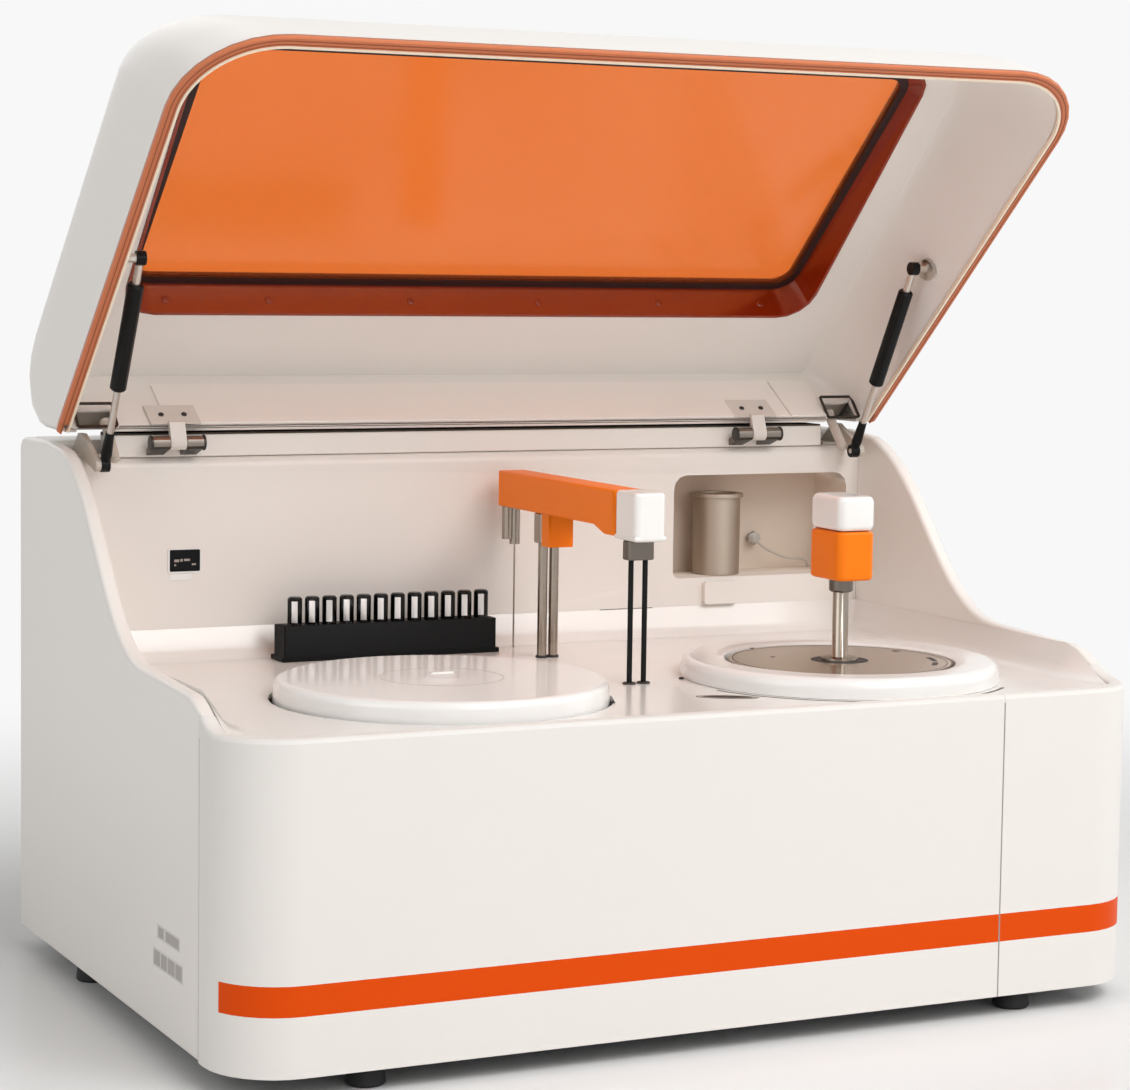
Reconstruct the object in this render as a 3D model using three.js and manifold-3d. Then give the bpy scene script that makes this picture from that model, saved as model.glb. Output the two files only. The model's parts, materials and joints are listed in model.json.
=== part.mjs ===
// Benchtop chemistry analyser with a hinged, windowed lid. Millimetres, +Z up.
// The origin is on the table below the middle of the cabinet. The front faces -Y.
// The lid is modelled open, resting on its gas struts, as it stands in use.
import * as THREE from 'three';
import { mergeVertices } from 'three/addons/utils/BufferGeometryUtils.js';
import Module from 'manifold-3d';

const wasm = await Module();
wasm.setup();

// Fits, and how finely rounds are cut
const gap = 0.3;
const overrun = 6;
const wideSteps = 8;
const cornerSteps = 3;
const edgeSteps = 2;
const discSteps = 40;
const drumSteps = 20;
const rodSteps = 12;
const smallSteps = 8;

// Cabinet
const cabinetWidth = 860;
const cabinetDepth = 590;
const skin = 3.5;
const frontCornerRadius = 61;
const frontHeight = 265;
const lipWidth = 14;
const lipDepth = 15;
const lipRound = 4;
const sideSeamFromFront = 74.5;
const doorWidth = 156.5;

// Side panel outline, from the cabinet's front and its underside
const lipRiseStart = 45;
const lipRiseEnd = 110;
const shelfFrontRise = 23;
const shelfEnd = 230;
const shelfRearRise = 28;
const curveReachShares = [0.436, 0.431];
const curveLowRise = 7;
const curveHighDrop = 29;
const shoulderFromRear = 135;
const shoulderAboveWall = 10;
const crestFromRear = 85;
const crestAboveWall = 15;
const rearLipAboveWall = 14;
const rearLipRound = 12;
const panelFootHeight = 25;
const panelReturn = 12;

// Feet
const footHeight = 18;
const footRadius = 16.5;
const footTopRadius = 14.5;
const footChamfer = 2;
const frontFootInset = 123;
const frontFootFromFront = 28;
const rearFootInset = 24;
const rearFootFromFront = 430;

// Base pan
const panClearance = 2;
const panThickness = 2;
const panFlangeHeight = 16;

// Deck
const deckBelowLip = 3;
const deckThickness = 4;
const borderWidth = 26;
const borderHeight = 28;
const borderCove = 9;
const coveRiseShare = 0.34;
const coveFootShare = 0.62;
const coveFootRiseShare = 0.08;
const sideRiseShare = 0.9;
const deckRearCorner = 6;

// Back wall, its niche and the covers behind it
const wallFromRear = 114;
const wallAboveDeck = 186;
const wallRound = 10;
const wallSkirt = 30;
const wallReturn = 44;
const nicheFromRight = 28;
const nicheWidth = 200;
const nicheAboveDeck = 56;
const nicheHeight = 103;
const nicheDepth = 62;
const nicheRound = 14;
const bossFromNicheLeft = 34;
const bossWidth = 38;
const bossHeight = 23;
const bossProud = 6;
const topCoverAboveWall = 14;

// Rear panel
const ventCount = 7;
const ventLength = 120;
const ventWidth = 5;
const ventPitch = 14;
const ventLowestHeight = 235;
const ventInset = 190;
const rearPanelBelowCover = 8;

// Mains inlet with its rocker switch
const inletFromLeft = 130;
const inletHeight = 85;
const inletWidth = 50;
const inletTall = 62;
const inletDepth = 24;
const inletBezel = 3;
const socketWidth = 26;
const socketTall = 18;
const socketDepth = 18;
const socketBelowCentre = 14;
const socketChamfer = 5;
const pinWidth = 2;
const pinTall = 4;
const pinLength = 12;
const pinSpacing = 7;
const rockerWidth = 20;
const rockerTall = 13;
const rockerDepth = 9;
const rockerAboveCentre = 16;
const rockerTilt = THREE.MathUtils.degToRad(10);

// Sample tray on the left
const trayPlaceShares = [0.2895, 0.294];
const coverRadiusShares = [0.1656, 0.2414];
const trayWellClearance = 4;
const coverHeight = 18;
const coverRound = 7;
const coverSkirt = 3;
const coverTop = 3;
const knobRadius = 14;
const knobHeight = 3.5;
const rotorInset = 5;
const rotorThickness = 6;
const rotorDrop = 12;
const cupCircleInset = 24;
const cupCount = 12;
const cupRadius = 8;
const cupHeight = 12;
const motorRadius = 42;
const motorTopGap = 30;
const motorShaftRadius = 9;
const motorFlangeRadius = 52.5;

// Reaction unit on the right
const reactionPlaceShares = [0.7407, 0.2797];
const ringBeyondCover = 1;
const ringHeight = 18;
const ringRound = 9;
const ringBandWidth = 39;
const ringCrestWidth = 29;
const reactionDiscClearance = 4;
const reactionDiscThickness = 5;
const reactionDiscDrop = 3;
const cuvetteCircleInset = 11;
const cuvetteBandDepth = 24;
const cuvetteBandWidth = 9;
const hubRadius = 34;
const hubFlangeRadius = 46;
const hubFlangeHeight = 12;

// Mixing head above the reaction unit
const columnRadius = 7.25;
const columnFlangeRadius = 17;
const columnFlangeHeight = 3;
const collarRadius = 11;
const collarHeight = 12;
const headFromDeck = 89;
const headWidth = 38;
const headDepth = 55;
const headHeight = 44;
const headCapHeight = 31.5;
const headCorner = 8;
const headBevel = 3;
const capBevel = 5;
const headTravel = 30;
const columnGrip = 12;
const spineWidth = 22;
const spineDepth = 6;
const spineLength = 40;

// Sampling arm between the two discs
const armPlaceShare = 0.5151;
const armFrontShare = 0.2797;
const armRearFromWall = 24;
const armWidth = 31;
const armTopAboveDeck = 170;
const armRearTall = 34;
const armFrontTall = 41;
const armBevel = 3;
const armBlockLength = 20;
const armBlockDrop = 30;
const armBlockInset = 3;
const armCapLength = 42;
const armCapTall = 43;
const armTravel = 40;
const probeSpacing = 14;
const probeFromArmFront = 24;
const probeRadius = 2.5;
const probeCollarWidth = 26;
const probeCollarDepth = 15;
const probeCollarTall = 17;
const probeLengthBelowDeck = 34;
const postFromWall = 106;
const postSpacing = 11.5;
const postRadius = 4.5;
const postLengthBelowDeck = 110;
const postClampWidth = 25;
const postClampDepth = 16;
const postClampTall = 28;
const needleFromWall = 31;
const needleRadius = 0.9;
const needleTubeRadius = 5;
const needleBlockTall = 36;
const needleBlockSpacing = 8;
const needleLengthBelowDeck = 20;
const needlePortRadius = 2;
const liftUnitWidth = 60;
const liftUnitDepth = 54;
const liftUnitHeight = 182;

// Tube rack behind the tray
const rackPlaceShare = 0.2302;
const rackFromWall = 58;
const rackLengthShare = 0.2535;
const rackDepth = 33;
const rackHeight = 32;
const rackStepHeight = 4;
const rackStep = 2.5;
const tubeCount = 12;
const tubeFromRackLeft = 17.5;
const tubeFromRackRight = 12.5;
const tubeRadius = 7.2;
const tubeAboveRack = 26;

// Pieces on the back wall
const statusFromLeft = 123;
const statusAboveDeck = 91;
const statusWidth = 29;
const statusTall = 20;
const statusProud = 1.5;
const washFromNicheLeft = 66;
const washFromWall = 31;
const washRadius = 24;
const washHeight = 82;
const washFlangeRadius = 27;
const washFlangeHeight = 4;
const fittingFromNicheLeft = 124;
const fittingAboveNiche = 32;
const fittingRadius = 5;
const fittingLength = 12;
const fittingNutRadius = 7;
const fittingNutLength = 4;
const nutSides = 6;
const hoseRadius = 1.2;
const hoseDrop = 26;
const hoseReach = 62;
const hoseReachShares = [0.08, 0.5, 0.9];
const hoseDropShares = [0.3, 0.75, 0.9];

// Inner units, seated on the base pan
const supplyWidth = 150;
const supplyDepth = 90;
const supplyTall = 60;
const supplyFromLeft = 60;
const supplyFromRear = 30;
const boardWidth = 220;
const boardDepth = 110;
const boardThickness = 2;
const boardStandoff = 10;
const standoffRadius = 4;
const boardFromSupply = 40;
const boardFromRear = 30;
const boardPartTall = 14;
const photometerWidth = 70;
const photometerDepth = 60;
const photometerTall = 120;
const photometerFromRight = 45;
const photometerFromRear = 200;
const lampRadius = 14;
const lampLength = 26;
const pumpWidth = 90;
const pumpDepth = 60;
const pumpTall = 130;
const pumpFromBoard = 90;
const pumpFromRear = 60;
const syringeRadius = 8;
const syringeTall = 60;

// Lid, in its own frame: hinge axis at the origin, front at -Y, top at +Z
const hingeAheadOfWall = 11;
const hingeAboveWall = 14;
const lidOpenTilt = THREE.MathUtils.degToRad(42);
const lidFrontSetback = 4.5;
const lidFrontRest = 2.4;
const rimAboveAxis = 9.8;
const trimHeight = 4;
const trimWidth = 10;
const lidTopRear = 136;
const lidTopFront = 140;
const lidCornerFront = 85;
const lidCornerFrontTop = 58;
const lidCornerRear = 12;
const lidCornerRearTop = 46;
const lidSkin = 3.5;
const lidFrontInsets = [0, 33, 102, 107];
const lidRearBulges = [0, 88, 88, -6];
const lidSideInsets = [0, 0.3, -2, 11];
const lidLevelShares = [0, 0.24, 0.43, 0.57, 0.69, 0.8, 0.9, 1];
const lidRiseShares = [0, 0.5, 1, 1];

// Lid liner
const linerSkin = 3;
const linerRimInset = 7;
const linerRearAhead = 5;
const linerSideInset = 33;
const linerFrontInset = 88;
const linerRearInset = -21;
const linerPlaneRear = 92;
const linerPlaneFront = 124;
const linerCornerFront = 80;
const linerCornerFrontTop = 40;
const linerCornerRear = 8;
const linerCreaseShare = 0.1;

// Lid window
const windowInsetLeft = 60;
const windowInsetRight = 80;
const windowRearFromHinge = 67;
const windowFromLidFront = 100;
const windowFrontLean = 10;
const windowCorner = 34;
const paneThickness = 5;
const paneMargin = 8;
const paneOverlap = 7;
const frameWall = 3;
const frameTaper = 10;
const frameProud = 1;

// Lid hinges
const hingeInsetLeft = 112;
const hingeInsetRight = 140;
const knuckleRadius = 6.5;
const hingePinRadius = 2.9;
const knuckleWidth = 15;
const hingeWidth = 48;
const leafThickness = 2.2;
const lidLeafLength = 28;
const bodyLeafLength = 24;
const hingeWeb = 5;
const webReachShare = 0.9;

// Gas struts
const strutInset = 38;
const strutPivotBehindAxis = -18;
const strutPivotAboveAxis = -17.5;
const strutStudFromHinge = 202;
const strutStudAboveAxis = 43.5;
const strutEyeRadius = 6.5;
const strutEyeWidth = 8;
const strutPinRadius = 2.6;
const strutFittingLength = 34;
const strutFittingRadius = 5.2;
const strutRodRadius = 3.2;
const strutRodLength = 92;
const strutTubeRadius = 7.4;
const strutTubeLength = 107;
const strutTubeRound = 1.5;
const strutNeckRadius = 3.6;
const strutBoreDepth = 60;
const strutNeckShare = 0.12;
const fittingFootShares = [0.8, 0.7];
const fittingBulgeShare = 0.35;
const fittingNeckShare = 1.25;
const studPlateRadius = 11;
const studPlateThickness = 3;
const studClearance = 1.8;
const studRadius = 4;
const bracketThickness = 5;
const bracketWidth = 12;
const bracketFootLength = 34;
const bracketFootWidth = 26;
const bracketFootThickness = 3;
const bracketRise = 22;
const bracketRoundShare = 0.72;
const notchWidth = 36;
const notchRise = 24;

// Places worked out from the sizes above
const leftX = -cabinetWidth / 2;
const rightX = cabinetWidth / 2;
const frontY = -cabinetDepth / 2;
const rearY = cabinetDepth / 2;
const baseZ = footHeight;
const lipZ = baseZ + frontHeight;
const deckZ = lipZ - deckBelowLip;
const wallTopZ = deckZ + wallAboveDeck;
const coverTopZ = wallTopZ + topCoverAboveWall;
const wallY = rearY - wallFromRear;
const insideLeft = leftX + lipWidth + gap;
const insideRight = rightX - lipWidth - gap;
const hingeY = wallY - hingeAheadOfWall;
const hingeZ = wallTopZ + hingeAboveWall;
const lidLength = Math.hypot(hingeY - frontY - lidFrontSetback, hingeZ - lipZ - lidFrontRest);
const windowFrontFromHinge = lidLength - windowFromLidFront;
const coverRadius = Math.min(cabinetWidth * coverRadiusShares[0], cabinetDepth * coverRadiusShares[1]);
const trayWellRadius = coverRadius + trayWellClearance;
const rotorRadius = coverRadius - rotorInset;
const cupCircleRadius = rotorRadius - cupCircleInset;
const ringRadius = coverRadius + ringBeyondCover;
const ringWellRadius = ringRadius - ringBandWidth;
const ringCrestRadius = ringRadius - ringCrestWidth;
const reactionDiscRadius = ringWellRadius - reactionDiscClearance;
const cuvetteCircleRadius = reactionDiscRadius - cuvetteCircleInset;
const trayX = leftX + cabinetWidth * trayPlaceShares[0];
const trayY = frontY + cabinetDepth * trayPlaceShares[1];
const reactionX = leftX + cabinetWidth * reactionPlaceShares[0];
const reactionY = frontY + cabinetDepth * reactionPlaceShares[1];
const armX = leftX + cabinetWidth * armPlaceShare;
const armTopZ = deckZ + armTopAboveDeck;
const armFrontY = frontY + cabinetDepth * armFrontShare;
const armRearY = wallY - armRearFromWall;
const probeY = armFrontY + probeFromArmFront;
const postY = wallY - postFromWall;
const needleY = wallY - needleFromWall;
const nicheLeftX = rightX - nicheFromRight - nicheWidth;
const nicheFloorZ = deckZ + nicheAboveDeck;
const panZ = baseZ + panClearance;
const panTopZ = panZ + panThickness;
const lidHalf = cabinetWidth / 2;
const lidRimZ = rimAboveAxis + trimHeight + gap;
const lidSlope = (lidTopFront - lidTopRear) / lidLength;
const linerSlope = (linerPlaneFront - linerPlaneRear) / lidLength;

// Materials
function paint(color, roughness, metalness = 0) {
  return new THREE.MeshStandardMaterial({ color, roughness, metalness });
}

const look = {
  shellWhite: () => paint(0xeeebe7, 0.42),
  deckWhite: () => paint(0xe9e4de, 0.35),
  warmBeige: () => paint(0xdfd5cd, 0.5),
  linerBeige: () => paint(0xcbbfb2, 0.55),
  orange: () => paint(0xf0771f, 0.4),
  deepOrange: () => paint(0xa02c04, 0.35),
  trimOrange: () => paint(0xc8643a, 0.5),
  steel: () => paint(0xb9b4ac, 0.3, 1),
  darkMetal: () => paint(0x5b5854, 0.4, 0.8),
  mirrorPlate: () => paint(0x8d857d, 0.15, 0.9),
  black: () => paint(0x17181a, 0.45),
  rubber: () => paint(0x1d1d1e, 0.85),
  grey: () => paint(0x7c7f80, 0.6),
  board: () => paint(0x2c6a45, 0.6),
  glass: () => {
    const tint = paint(0xe9702f, 0.12);
    tint.transparent = true;
    tint.opacity = 0.55;
    return tint;
  },
};

// A closed geometry as a solid, with shared corners merged and its faces turned outwards
function solidOf(geometry) {
  const plain = geometry.index ? geometry.toNonIndexed() : geometry.clone();
  for (const name of Object.keys(plain.attributes)) {
    if (name !== 'position') plain.deleteAttribute(name);
  }
  const merged = mergeVertices(plain);
  const points = merged.attributes.position;
  const corners = merged.index.array;
  const triangles = [];
  const [a, b, c] = [new THREE.Vector3(), new THREE.Vector3(), new THREE.Vector3()];
  let volume = 0;
  for (let i = 0; i < corners.length; i += 3) {
    const [p, q, r] = [corners[i], corners[i + 1], corners[i + 2]];
    if (p === q || q === r || p === r) continue;
    triangles.push(p, q, r);
    a.fromBufferAttribute(points, p);
    b.fromBufferAttribute(points, q);
    c.fromBufferAttribute(points, r);
    volume += a.dot(b.cross(c));
  }
  if (volume < 0) triangles.reverse();
  return new wasm.Manifold(new wasm.Mesh({
    numProp: 3,
    vertProperties: new Float32Array(points.array),
    triVerts: new Uint32Array(triangles),
  }));
}

function geometryOf(solid) {
  const mesh = solid.getMesh();
  const geometry = new THREE.BufferGeometry();
  geometry.setAttribute('position', new THREE.BufferAttribute(mesh.vertProperties, 3));
  geometry.setIndex(new THREE.BufferAttribute(mesh.triVerts, 1));
  return geometry;
}

function join(first, ...others) {
  return others.reduce((whole, piece) => whole.add(piece), first);
}

function cut(first, ...others) {
  return others.reduce((whole, piece) => whole.subtract(piece), first);
}

function piece(name, solid, material) {
  const geometry = geometryOf(solid).toNonIndexed();
  geometry.computeVertexNormals();
  const mesh = new THREE.Mesh(geometry, material);
  mesh.name = name;
  return mesh;
}

// Rounded rectangle as a list of points, with its own radius at the front and the rear corners
function outline(xLow, xHigh, yLow, yHigh, frontRadius, rearRadius = frontRadius,
  steps = cornerSteps, rearSteps = cornerSteps) {
  const corners = [
    [xHigh - frontRadius, yLow + frontRadius, frontRadius, -1, steps],
    [xHigh - rearRadius, yHigh - rearRadius, rearRadius, 0, rearSteps],
    [xLow + rearRadius, yHigh - rearRadius, rearRadius, 1, rearSteps],
    [xLow + frontRadius, yLow + frontRadius, frontRadius, 2, steps],
  ];
  return corners.flatMap(([x, y, radius, quarter, count]) => Array.from({ length: count + 1 }, (_, i) => {
    const turn = Math.PI / 2 * (quarter + i / count);
    return new THREE.Vector2(x + radius * Math.cos(turn), y + radius * Math.sin(turn));
  }));
}

function shapeOf(points) {
  return new THREE.Shape(points);
}

// Flat outline raised from zLow to zHigh, with its edges softened when a bevel is given
function slab(points, zLow, zHigh, bevel = 0, steps = edgeSteps) {
  const options = { depth: zHigh - zLow - 2 * bevel, curveSegments: cornerSteps, bevelEnabled: bevel > 0 };
  if (bevel > 0) {
    options.bevelSize = bevel;
    options.bevelThickness = bevel;
    options.bevelOffset = -bevel;
    options.bevelSegments = steps;
  }
  const shape = points instanceof THREE.Shape ? points : shapeOf(points);
  const geometry = new THREE.ExtrudeGeometry(shape, options);
  geometry.translate(0, 0, zLow + bevel);
  return geometry;
}

function box(xLow, xHigh, yLow, yHigh, zLow, zHigh) {
  const geometry = new THREE.BoxGeometry(xHigh - xLow, yHigh - yLow, zHigh - zLow);
  geometry.translate((xLow + xHigh) / 2, (yLow + yHigh) / 2, (zLow + zHigh) / 2);
  return solidOf(geometry);
}

// An outline drawn in Y and Z, run along X
function alongX(points, xLow, xHigh, bevel = 0, steps = edgeSteps) {
  const geometry = slab(points, xLow, xHigh, bevel, steps);
  geometry.applyMatrix4(new THREE.Matrix4().makeBasis(
    new THREE.Vector3(0, 1, 0), new THREE.Vector3(0, 0, 1), new THREE.Vector3(1, 0, 0)));
  return solidOf(geometry);
}

// An outline drawn in X and Z, run along Y from yLow to yHigh
function alongY(points, yLow, yHigh, bevel = 0, steps = edgeSteps) {
  const geometry = slab(points, -yHigh, -yLow, bevel, steps);
  geometry.applyMatrix4(new THREE.Matrix4().makeBasis(
    new THREE.Vector3(1, 0, 0), new THREE.Vector3(0, 0, 1), new THREE.Vector3(0, -1, 0)));
  return solidOf(geometry);
}

function upright(points, zLow, zHigh, bevel = 0, steps = edgeSteps) {
  return solidOf(slab(points, zLow, zHigh, bevel, steps));
}

// A profile of [radius, height] pairs, turned about +Z
function turned(profile, steps = discSteps) {
  const geometry = new THREE.LatheGeometry(profile.map(([r, z]) => new THREE.Vector2(r, z)), steps);
  geometry.rotateX(Math.PI / 2);
  return solidOf(geometry);
}

function rod(radius, zLow, zHigh, steps = rodSteps) {
  return turned([[0, zLow], [radius, zLow], [radius, zHigh], [0, zHigh]], steps);
}

function rodAlongX(radius, xLow, xHigh, y, z, steps = rodSteps) {
  const geometry = new THREE.CylinderGeometry(radius, radius, xHigh - xLow, steps);
  geometry.rotateZ(-Math.PI / 2);
  geometry.translate((xLow + xHigh) / 2, y, z);
  return solidOf(geometry);
}

function rodAlongY(radius, yLow, yHigh, x, z, steps = rodSteps) {
  const geometry = new THREE.CylinderGeometry(radius, radius, yHigh - yLow, steps);
  geometry.translate(x, (yLow + yHigh) / 2, z);
  return solidOf(geometry);
}

function moved(solid, x, y, z) {
  const geometry = geometryOf(solid);
  geometry.translate(x, y, z);
  return solidOf(geometry);
}

// Quarter round between two heights of a turned profile, as [radius, height] pairs
function quarterRound(radius, height, round, steps = cornerSteps) {
  return Array.from({ length: steps + 1 }, (_, i) => {
    const turn = Math.PI / 2 * i / steps;
    return [radius - round + round * Math.cos(turn), height - round + round * Math.sin(turn)];
  });
}

// Triangles over a flat ring of points in space, all turned the way the ring runs
function capOf(ring) {
  const normal = new THREE.Vector3();
  ring.forEach((p, i) => {
    const q = ring[(i + 1) % ring.length];
    normal.x += (p.y - q.y) * (p.z + q.z);
    normal.y += (p.z - q.z) * (p.x + q.x);
    normal.z += (p.x - q.x) * (p.y + q.y);
  });
  normal.normalize();
  const turn = new THREE.Quaternion().setFromUnitVectors(normal, new THREE.Vector3(0, 0, 1));
  const flat = ring.map((p) => {
    const q = p.clone().applyQuaternion(turn);
    return new THREE.Vector2(q.x, q.y);
  });
  return THREE.ShapeUtils.triangulateShape(flat, []);
}

// Closed skin over rings of points that all have the same count, flat at both ends
function loft(rings) {
  const count = rings[0].length;
  const points = rings.flatMap((ring) => ring.flatMap((p) => [p.x, p.y, p.z]));
  const faces = [];
  for (let level = 0; level < rings.length - 1; level += 1) {
    for (let i = 0; i < count; i += 1) {
      const next = (i + 1) % count;
      const low = level * count;
      const high = low + count;
      faces.push(low + i, low + next, high + next, low + i, high + next, high + i);
    }
  }
  const last = (rings.length - 1) * count;
  for (const [a, b, c] of capOf(rings[0])) faces.push(a, c, b);
  for (const [a, b, c] of capOf(rings[rings.length - 1])) faces.push(last + a, last + b, last + c);
  const geometry = new THREE.BufferGeometry();
  geometry.setAttribute('position', new THREE.Float32BufferAttribute(points, 3));
  geometry.setIndex(faces);
  return solidOf(geometry);
}

// The same outline with further points along its two long sides
function withSidePoints(points, count = cornerSteps) {
  return points.flatMap((p, i) => {
    const q = points[(i + 1) % points.length];
    if (Math.abs(q.x - p.x) > gap || Math.abs(q.y - p.y) < cabinetDepth / 4) return [p];
    return Array.from({ length: count }, (_, k) => p.clone().lerp(q, k / count));
  });
}

function ringAt(points, height) {
  const lift = typeof height === 'function' ? height : () => height;
  return points.map((p) => new THREE.Vector3(p.x, p.y, lift(p.y)));
}

// Height of the cabinet's upper edge at a distance behind its front
function lipHeight(fromFront) {
  if (fromFront <= lipRiseEnd) {
    const share = THREE.MathUtils.smoothstep(fromFront, lipRiseStart, lipRiseEnd);
    return frontHeight + shelfFrontRise * share;
  }
  const share = (fromFront - lipRiseEnd) / (shelfEnd - lipRiseEnd);
  return frontHeight + THREE.MathUtils.lerp(shelfFrontRise, shelfRearRise, share);
}

// Side panel: an S-curved outline with soft edges, hollowed below the deck
function sidePanel(side) {
  const start = sideSeamFromFront + gap / 2;
  const risePoints = 5;
  const outlinePoints = [new THREE.Vector2(frontY + start, baseZ)];
  for (let i = 0; i <= risePoints; i += 1) {
    const fromFront = THREE.MathUtils.lerp(start, lipRiseEnd, i / risePoints);
    outlinePoints.push(new THREE.Vector2(frontY + fromFront, baseZ + lipHeight(fromFront)));
  }
  const foot = new THREE.Vector2(frontY + shelfEnd, lipZ + shelfRearRise);
  const shoulder = new THREE.Vector2(rearY - shoulderFromRear, wallTopZ + shoulderAboveWall);
  const run = shoulder.x - foot.x;
  const climb = new THREE.CubicBezierCurve(
    foot,
    new THREE.Vector2(foot.x + run * curveReachShares[0], foot.y + curveLowRise),
    new THREE.Vector2(shoulder.x - run * curveReachShares[1], shoulder.y - curveHighDrop),
    shoulder);
  outlinePoints.push(...climb.getPoints(2 * wideSteps));
  outlinePoints.push(new THREE.Vector2(rearY - crestFromRear, wallTopZ + crestAboveWall));
  const rearLipZ = wallTopZ + rearLipAboveWall;
  for (let i = 0; i <= cornerSteps; i += 1) {
    const turn = Math.PI / 2 * (1 - i / cornerSteps);
    outlinePoints.push(new THREE.Vector2(
      rearY - rearLipRound + rearLipRound * Math.cos(turn),
      rearLipZ - rearLipRound + rearLipRound * Math.sin(turn)));
  }
  outlinePoints.push(new THREE.Vector2(rearY, baseZ));
  const [xLow, xHigh] = side < 0 ? [leftX, leftX + lipWidth] : [rightX - lipWidth, rightX];
  const [hollowLow, hollowHigh] = side < 0
    ? [leftX + skin, leftX + lipWidth + overrun]
    : [rightX - lipWidth - overrun, rightX - skin];
  return cut(
    alongX(outlinePoints, xLow, xHigh, lipRound),
    box(hollowLow, hollowHigh, frontY + start + panelReturn, rearY - panelReturn,
      baseZ - overrun, deckZ - deckThickness - lipDepth / 2),
    box(hollowLow, hollowHigh, frontY - overrun, rearY + overrun, baseZ - overrun, baseZ + panelFootHeight));
}

// Stations round the cabinet's front, each with a point on the outer face and the way inwards
function frontStations() {
  const stations = [];
  const seamY = frontY + sideSeamFromFront - gap / 2;
  const cornerY = frontY + frontCornerRadius;
  const cornerX = rightX - frontCornerRadius;
  const sideSteps = 2;
  for (let i = 0; i < sideSteps; i += 1) {
    stations.push([rightX, THREE.MathUtils.lerp(seamY, cornerY, i / sideSteps), -1, 0]);
  }
  const arcSteps = wideSteps;
  for (let i = 0; i <= arcSteps; i += 1) {
    const turn = -Math.PI / 2 * i / arcSteps;
    const [c, s] = [Math.cos(turn), Math.sin(turn)];
    stations.push([cornerX + frontCornerRadius * c, cornerY + frontCornerRadius * s, -c, -s]);
  }
  return { right: stations, left: stations.map(([x, y, inX, inY]) => [-x, y, -inX, inY]) };
}

// Section of the front skin: an outer face, a rounded upper edge and a return that carries the deck
function frontSection(x, y, inX, inY) {
  const top = baseZ + lipHeight(y - frontY);
  const section = [[0, baseZ], [0, top - lipRound]];
  for (let i = 1; i <= edgeSteps; i += 1) {
    const turn = Math.PI / 2 * i / edgeSteps;
    section.push([lipRound - lipRound * Math.cos(turn), top - lipRound + lipRound * Math.sin(turn)]);
  }
  section.push([lipWidth - lipRound / 2, top], [lipWidth, top - lipRound / 2]);
  section.push([lipWidth, top - lipDepth], [skin, top - lipDepth - lipWidth / 2], [skin, baseZ]);
  return section.map(([inward, z]) => new THREE.Vector3(x + inX * inward, y + inY * inward, z));
}

function frontPanels() {
  const { right, left } = frontStations();
  const seamX = rightX - doorWidth;
  const main = [...left, [seamX - gap / 2, frontY, 0, 1]];
  const door = [[seamX + gap / 2, frontY, 0, 1], ...right.slice().reverse()];
  return [main, door].map((list) => loft(list.map((station) => frontSection(...station))));
}

// Plan outline of the cabinet, drawn in by an inset
function cabinetOutline(inset, yHigh, rearRadius) {
  return outline(leftX + inset, rightX - inset, frontY + inset, yHigh,
    frontCornerRadius - inset, rearRadius, wideSteps);
}

function basePan() {
  const inset = skin + gap;
  const yHigh = rearY - inset;
  const wall = panThickness;
  return cut(
    upright(cabinetOutline(inset, yHigh, wall * 2), panZ, panZ + panFlangeHeight),
    upright(cabinetOutline(inset + wall, yHigh - wall, wall), panTopZ, panZ + panFlangeHeight + overrun));
}

// Deck: a flat floor with a coved border that rises to the walls and sinks to the front lip
function deck() {
  const inset = lipWidth + gap;
  const yHigh = wallY - gap;
  const rise = (share) => (y) => {
    const fade = THREE.MathUtils.smoothstep(y - frontY, lipRiseStart, lipRiseEnd);
    return deckZ + borderHeight * share * fade;
  };
  const ring = (extra, rear, height) => {
    const points = [];
    const plan = outline(leftX + inset + extra, rightX - inset - extra, frontY + inset + extra / 4,
      yHigh - extra, frontCornerRadius - inset, rear, wideSteps - 2, 1);
    for (let i = 0; i < plan.length; i += 1) {
      const next = plan[(i + 1) % plan.length];
      points.push(plan[i]);
      const straight = Math.abs(next.x - plan[i].x) < gap && Math.abs(next.y - plan[i].y) > cabinetDepth / 2;
      if (!straight) continue;
      const front = Math.min(next.y, plan[i].y);
      const added = Array.from({ length: cornerSteps }, (_, k) => new THREE.Vector2(
        plan[i].x, THREE.MathUtils.lerp(front, frontY + lipRiseEnd, (k + 1) / cornerSteps)));
      points.push(...(next.y < plan[i].y ? added.reverse() : added));
    }
    return ringAt(points, height);
  };
  const down = (height) => (y) => height(y) - deckThickness;
  const body = loft([
    ring(borderWidth, deckRearCorner, down(rise(0))),
    ring(borderCove, deckRearCorner, down(rise(coveRiseShare))),
    ring(0, deckRearCorner, down(rise(sideRiseShare))),
    ring(0, deckRearCorner, rise(1)),
    ring(borderCove, deckRearCorner, rise(coveRiseShare)),
    ring(borderWidth * coveFootShare, deckRearCorner, rise(coveFootRiseShare)),
    ring(borderWidth, deckRearCorner, rise(0)),
  ]);
  const low = deckZ - deckThickness - overrun;
  const high = deckZ + overrun;
  const hole = (radius, x, y, steps = rodSteps) =>
    moved(rod(radius, low, high, steps), x, y, 0);
  const holes = [
    hole(trayWellRadius, trayX, trayY, discSteps),
    hole(ringWellRadius, reactionX, reactionY, discSteps),
    hole(needlePortRadius, armX, needleY, smallSteps),
  ];
  for (const side of [-1, 1]) {
    holes.push(hole(probeRadius + gap, armX + side * probeSpacing / 2, probeY, smallSteps));
    holes.push(hole(postRadius + gap, armX + side * postSpacing / 2, postY));
  }
  return cut(body, ...holes);
}

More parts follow.
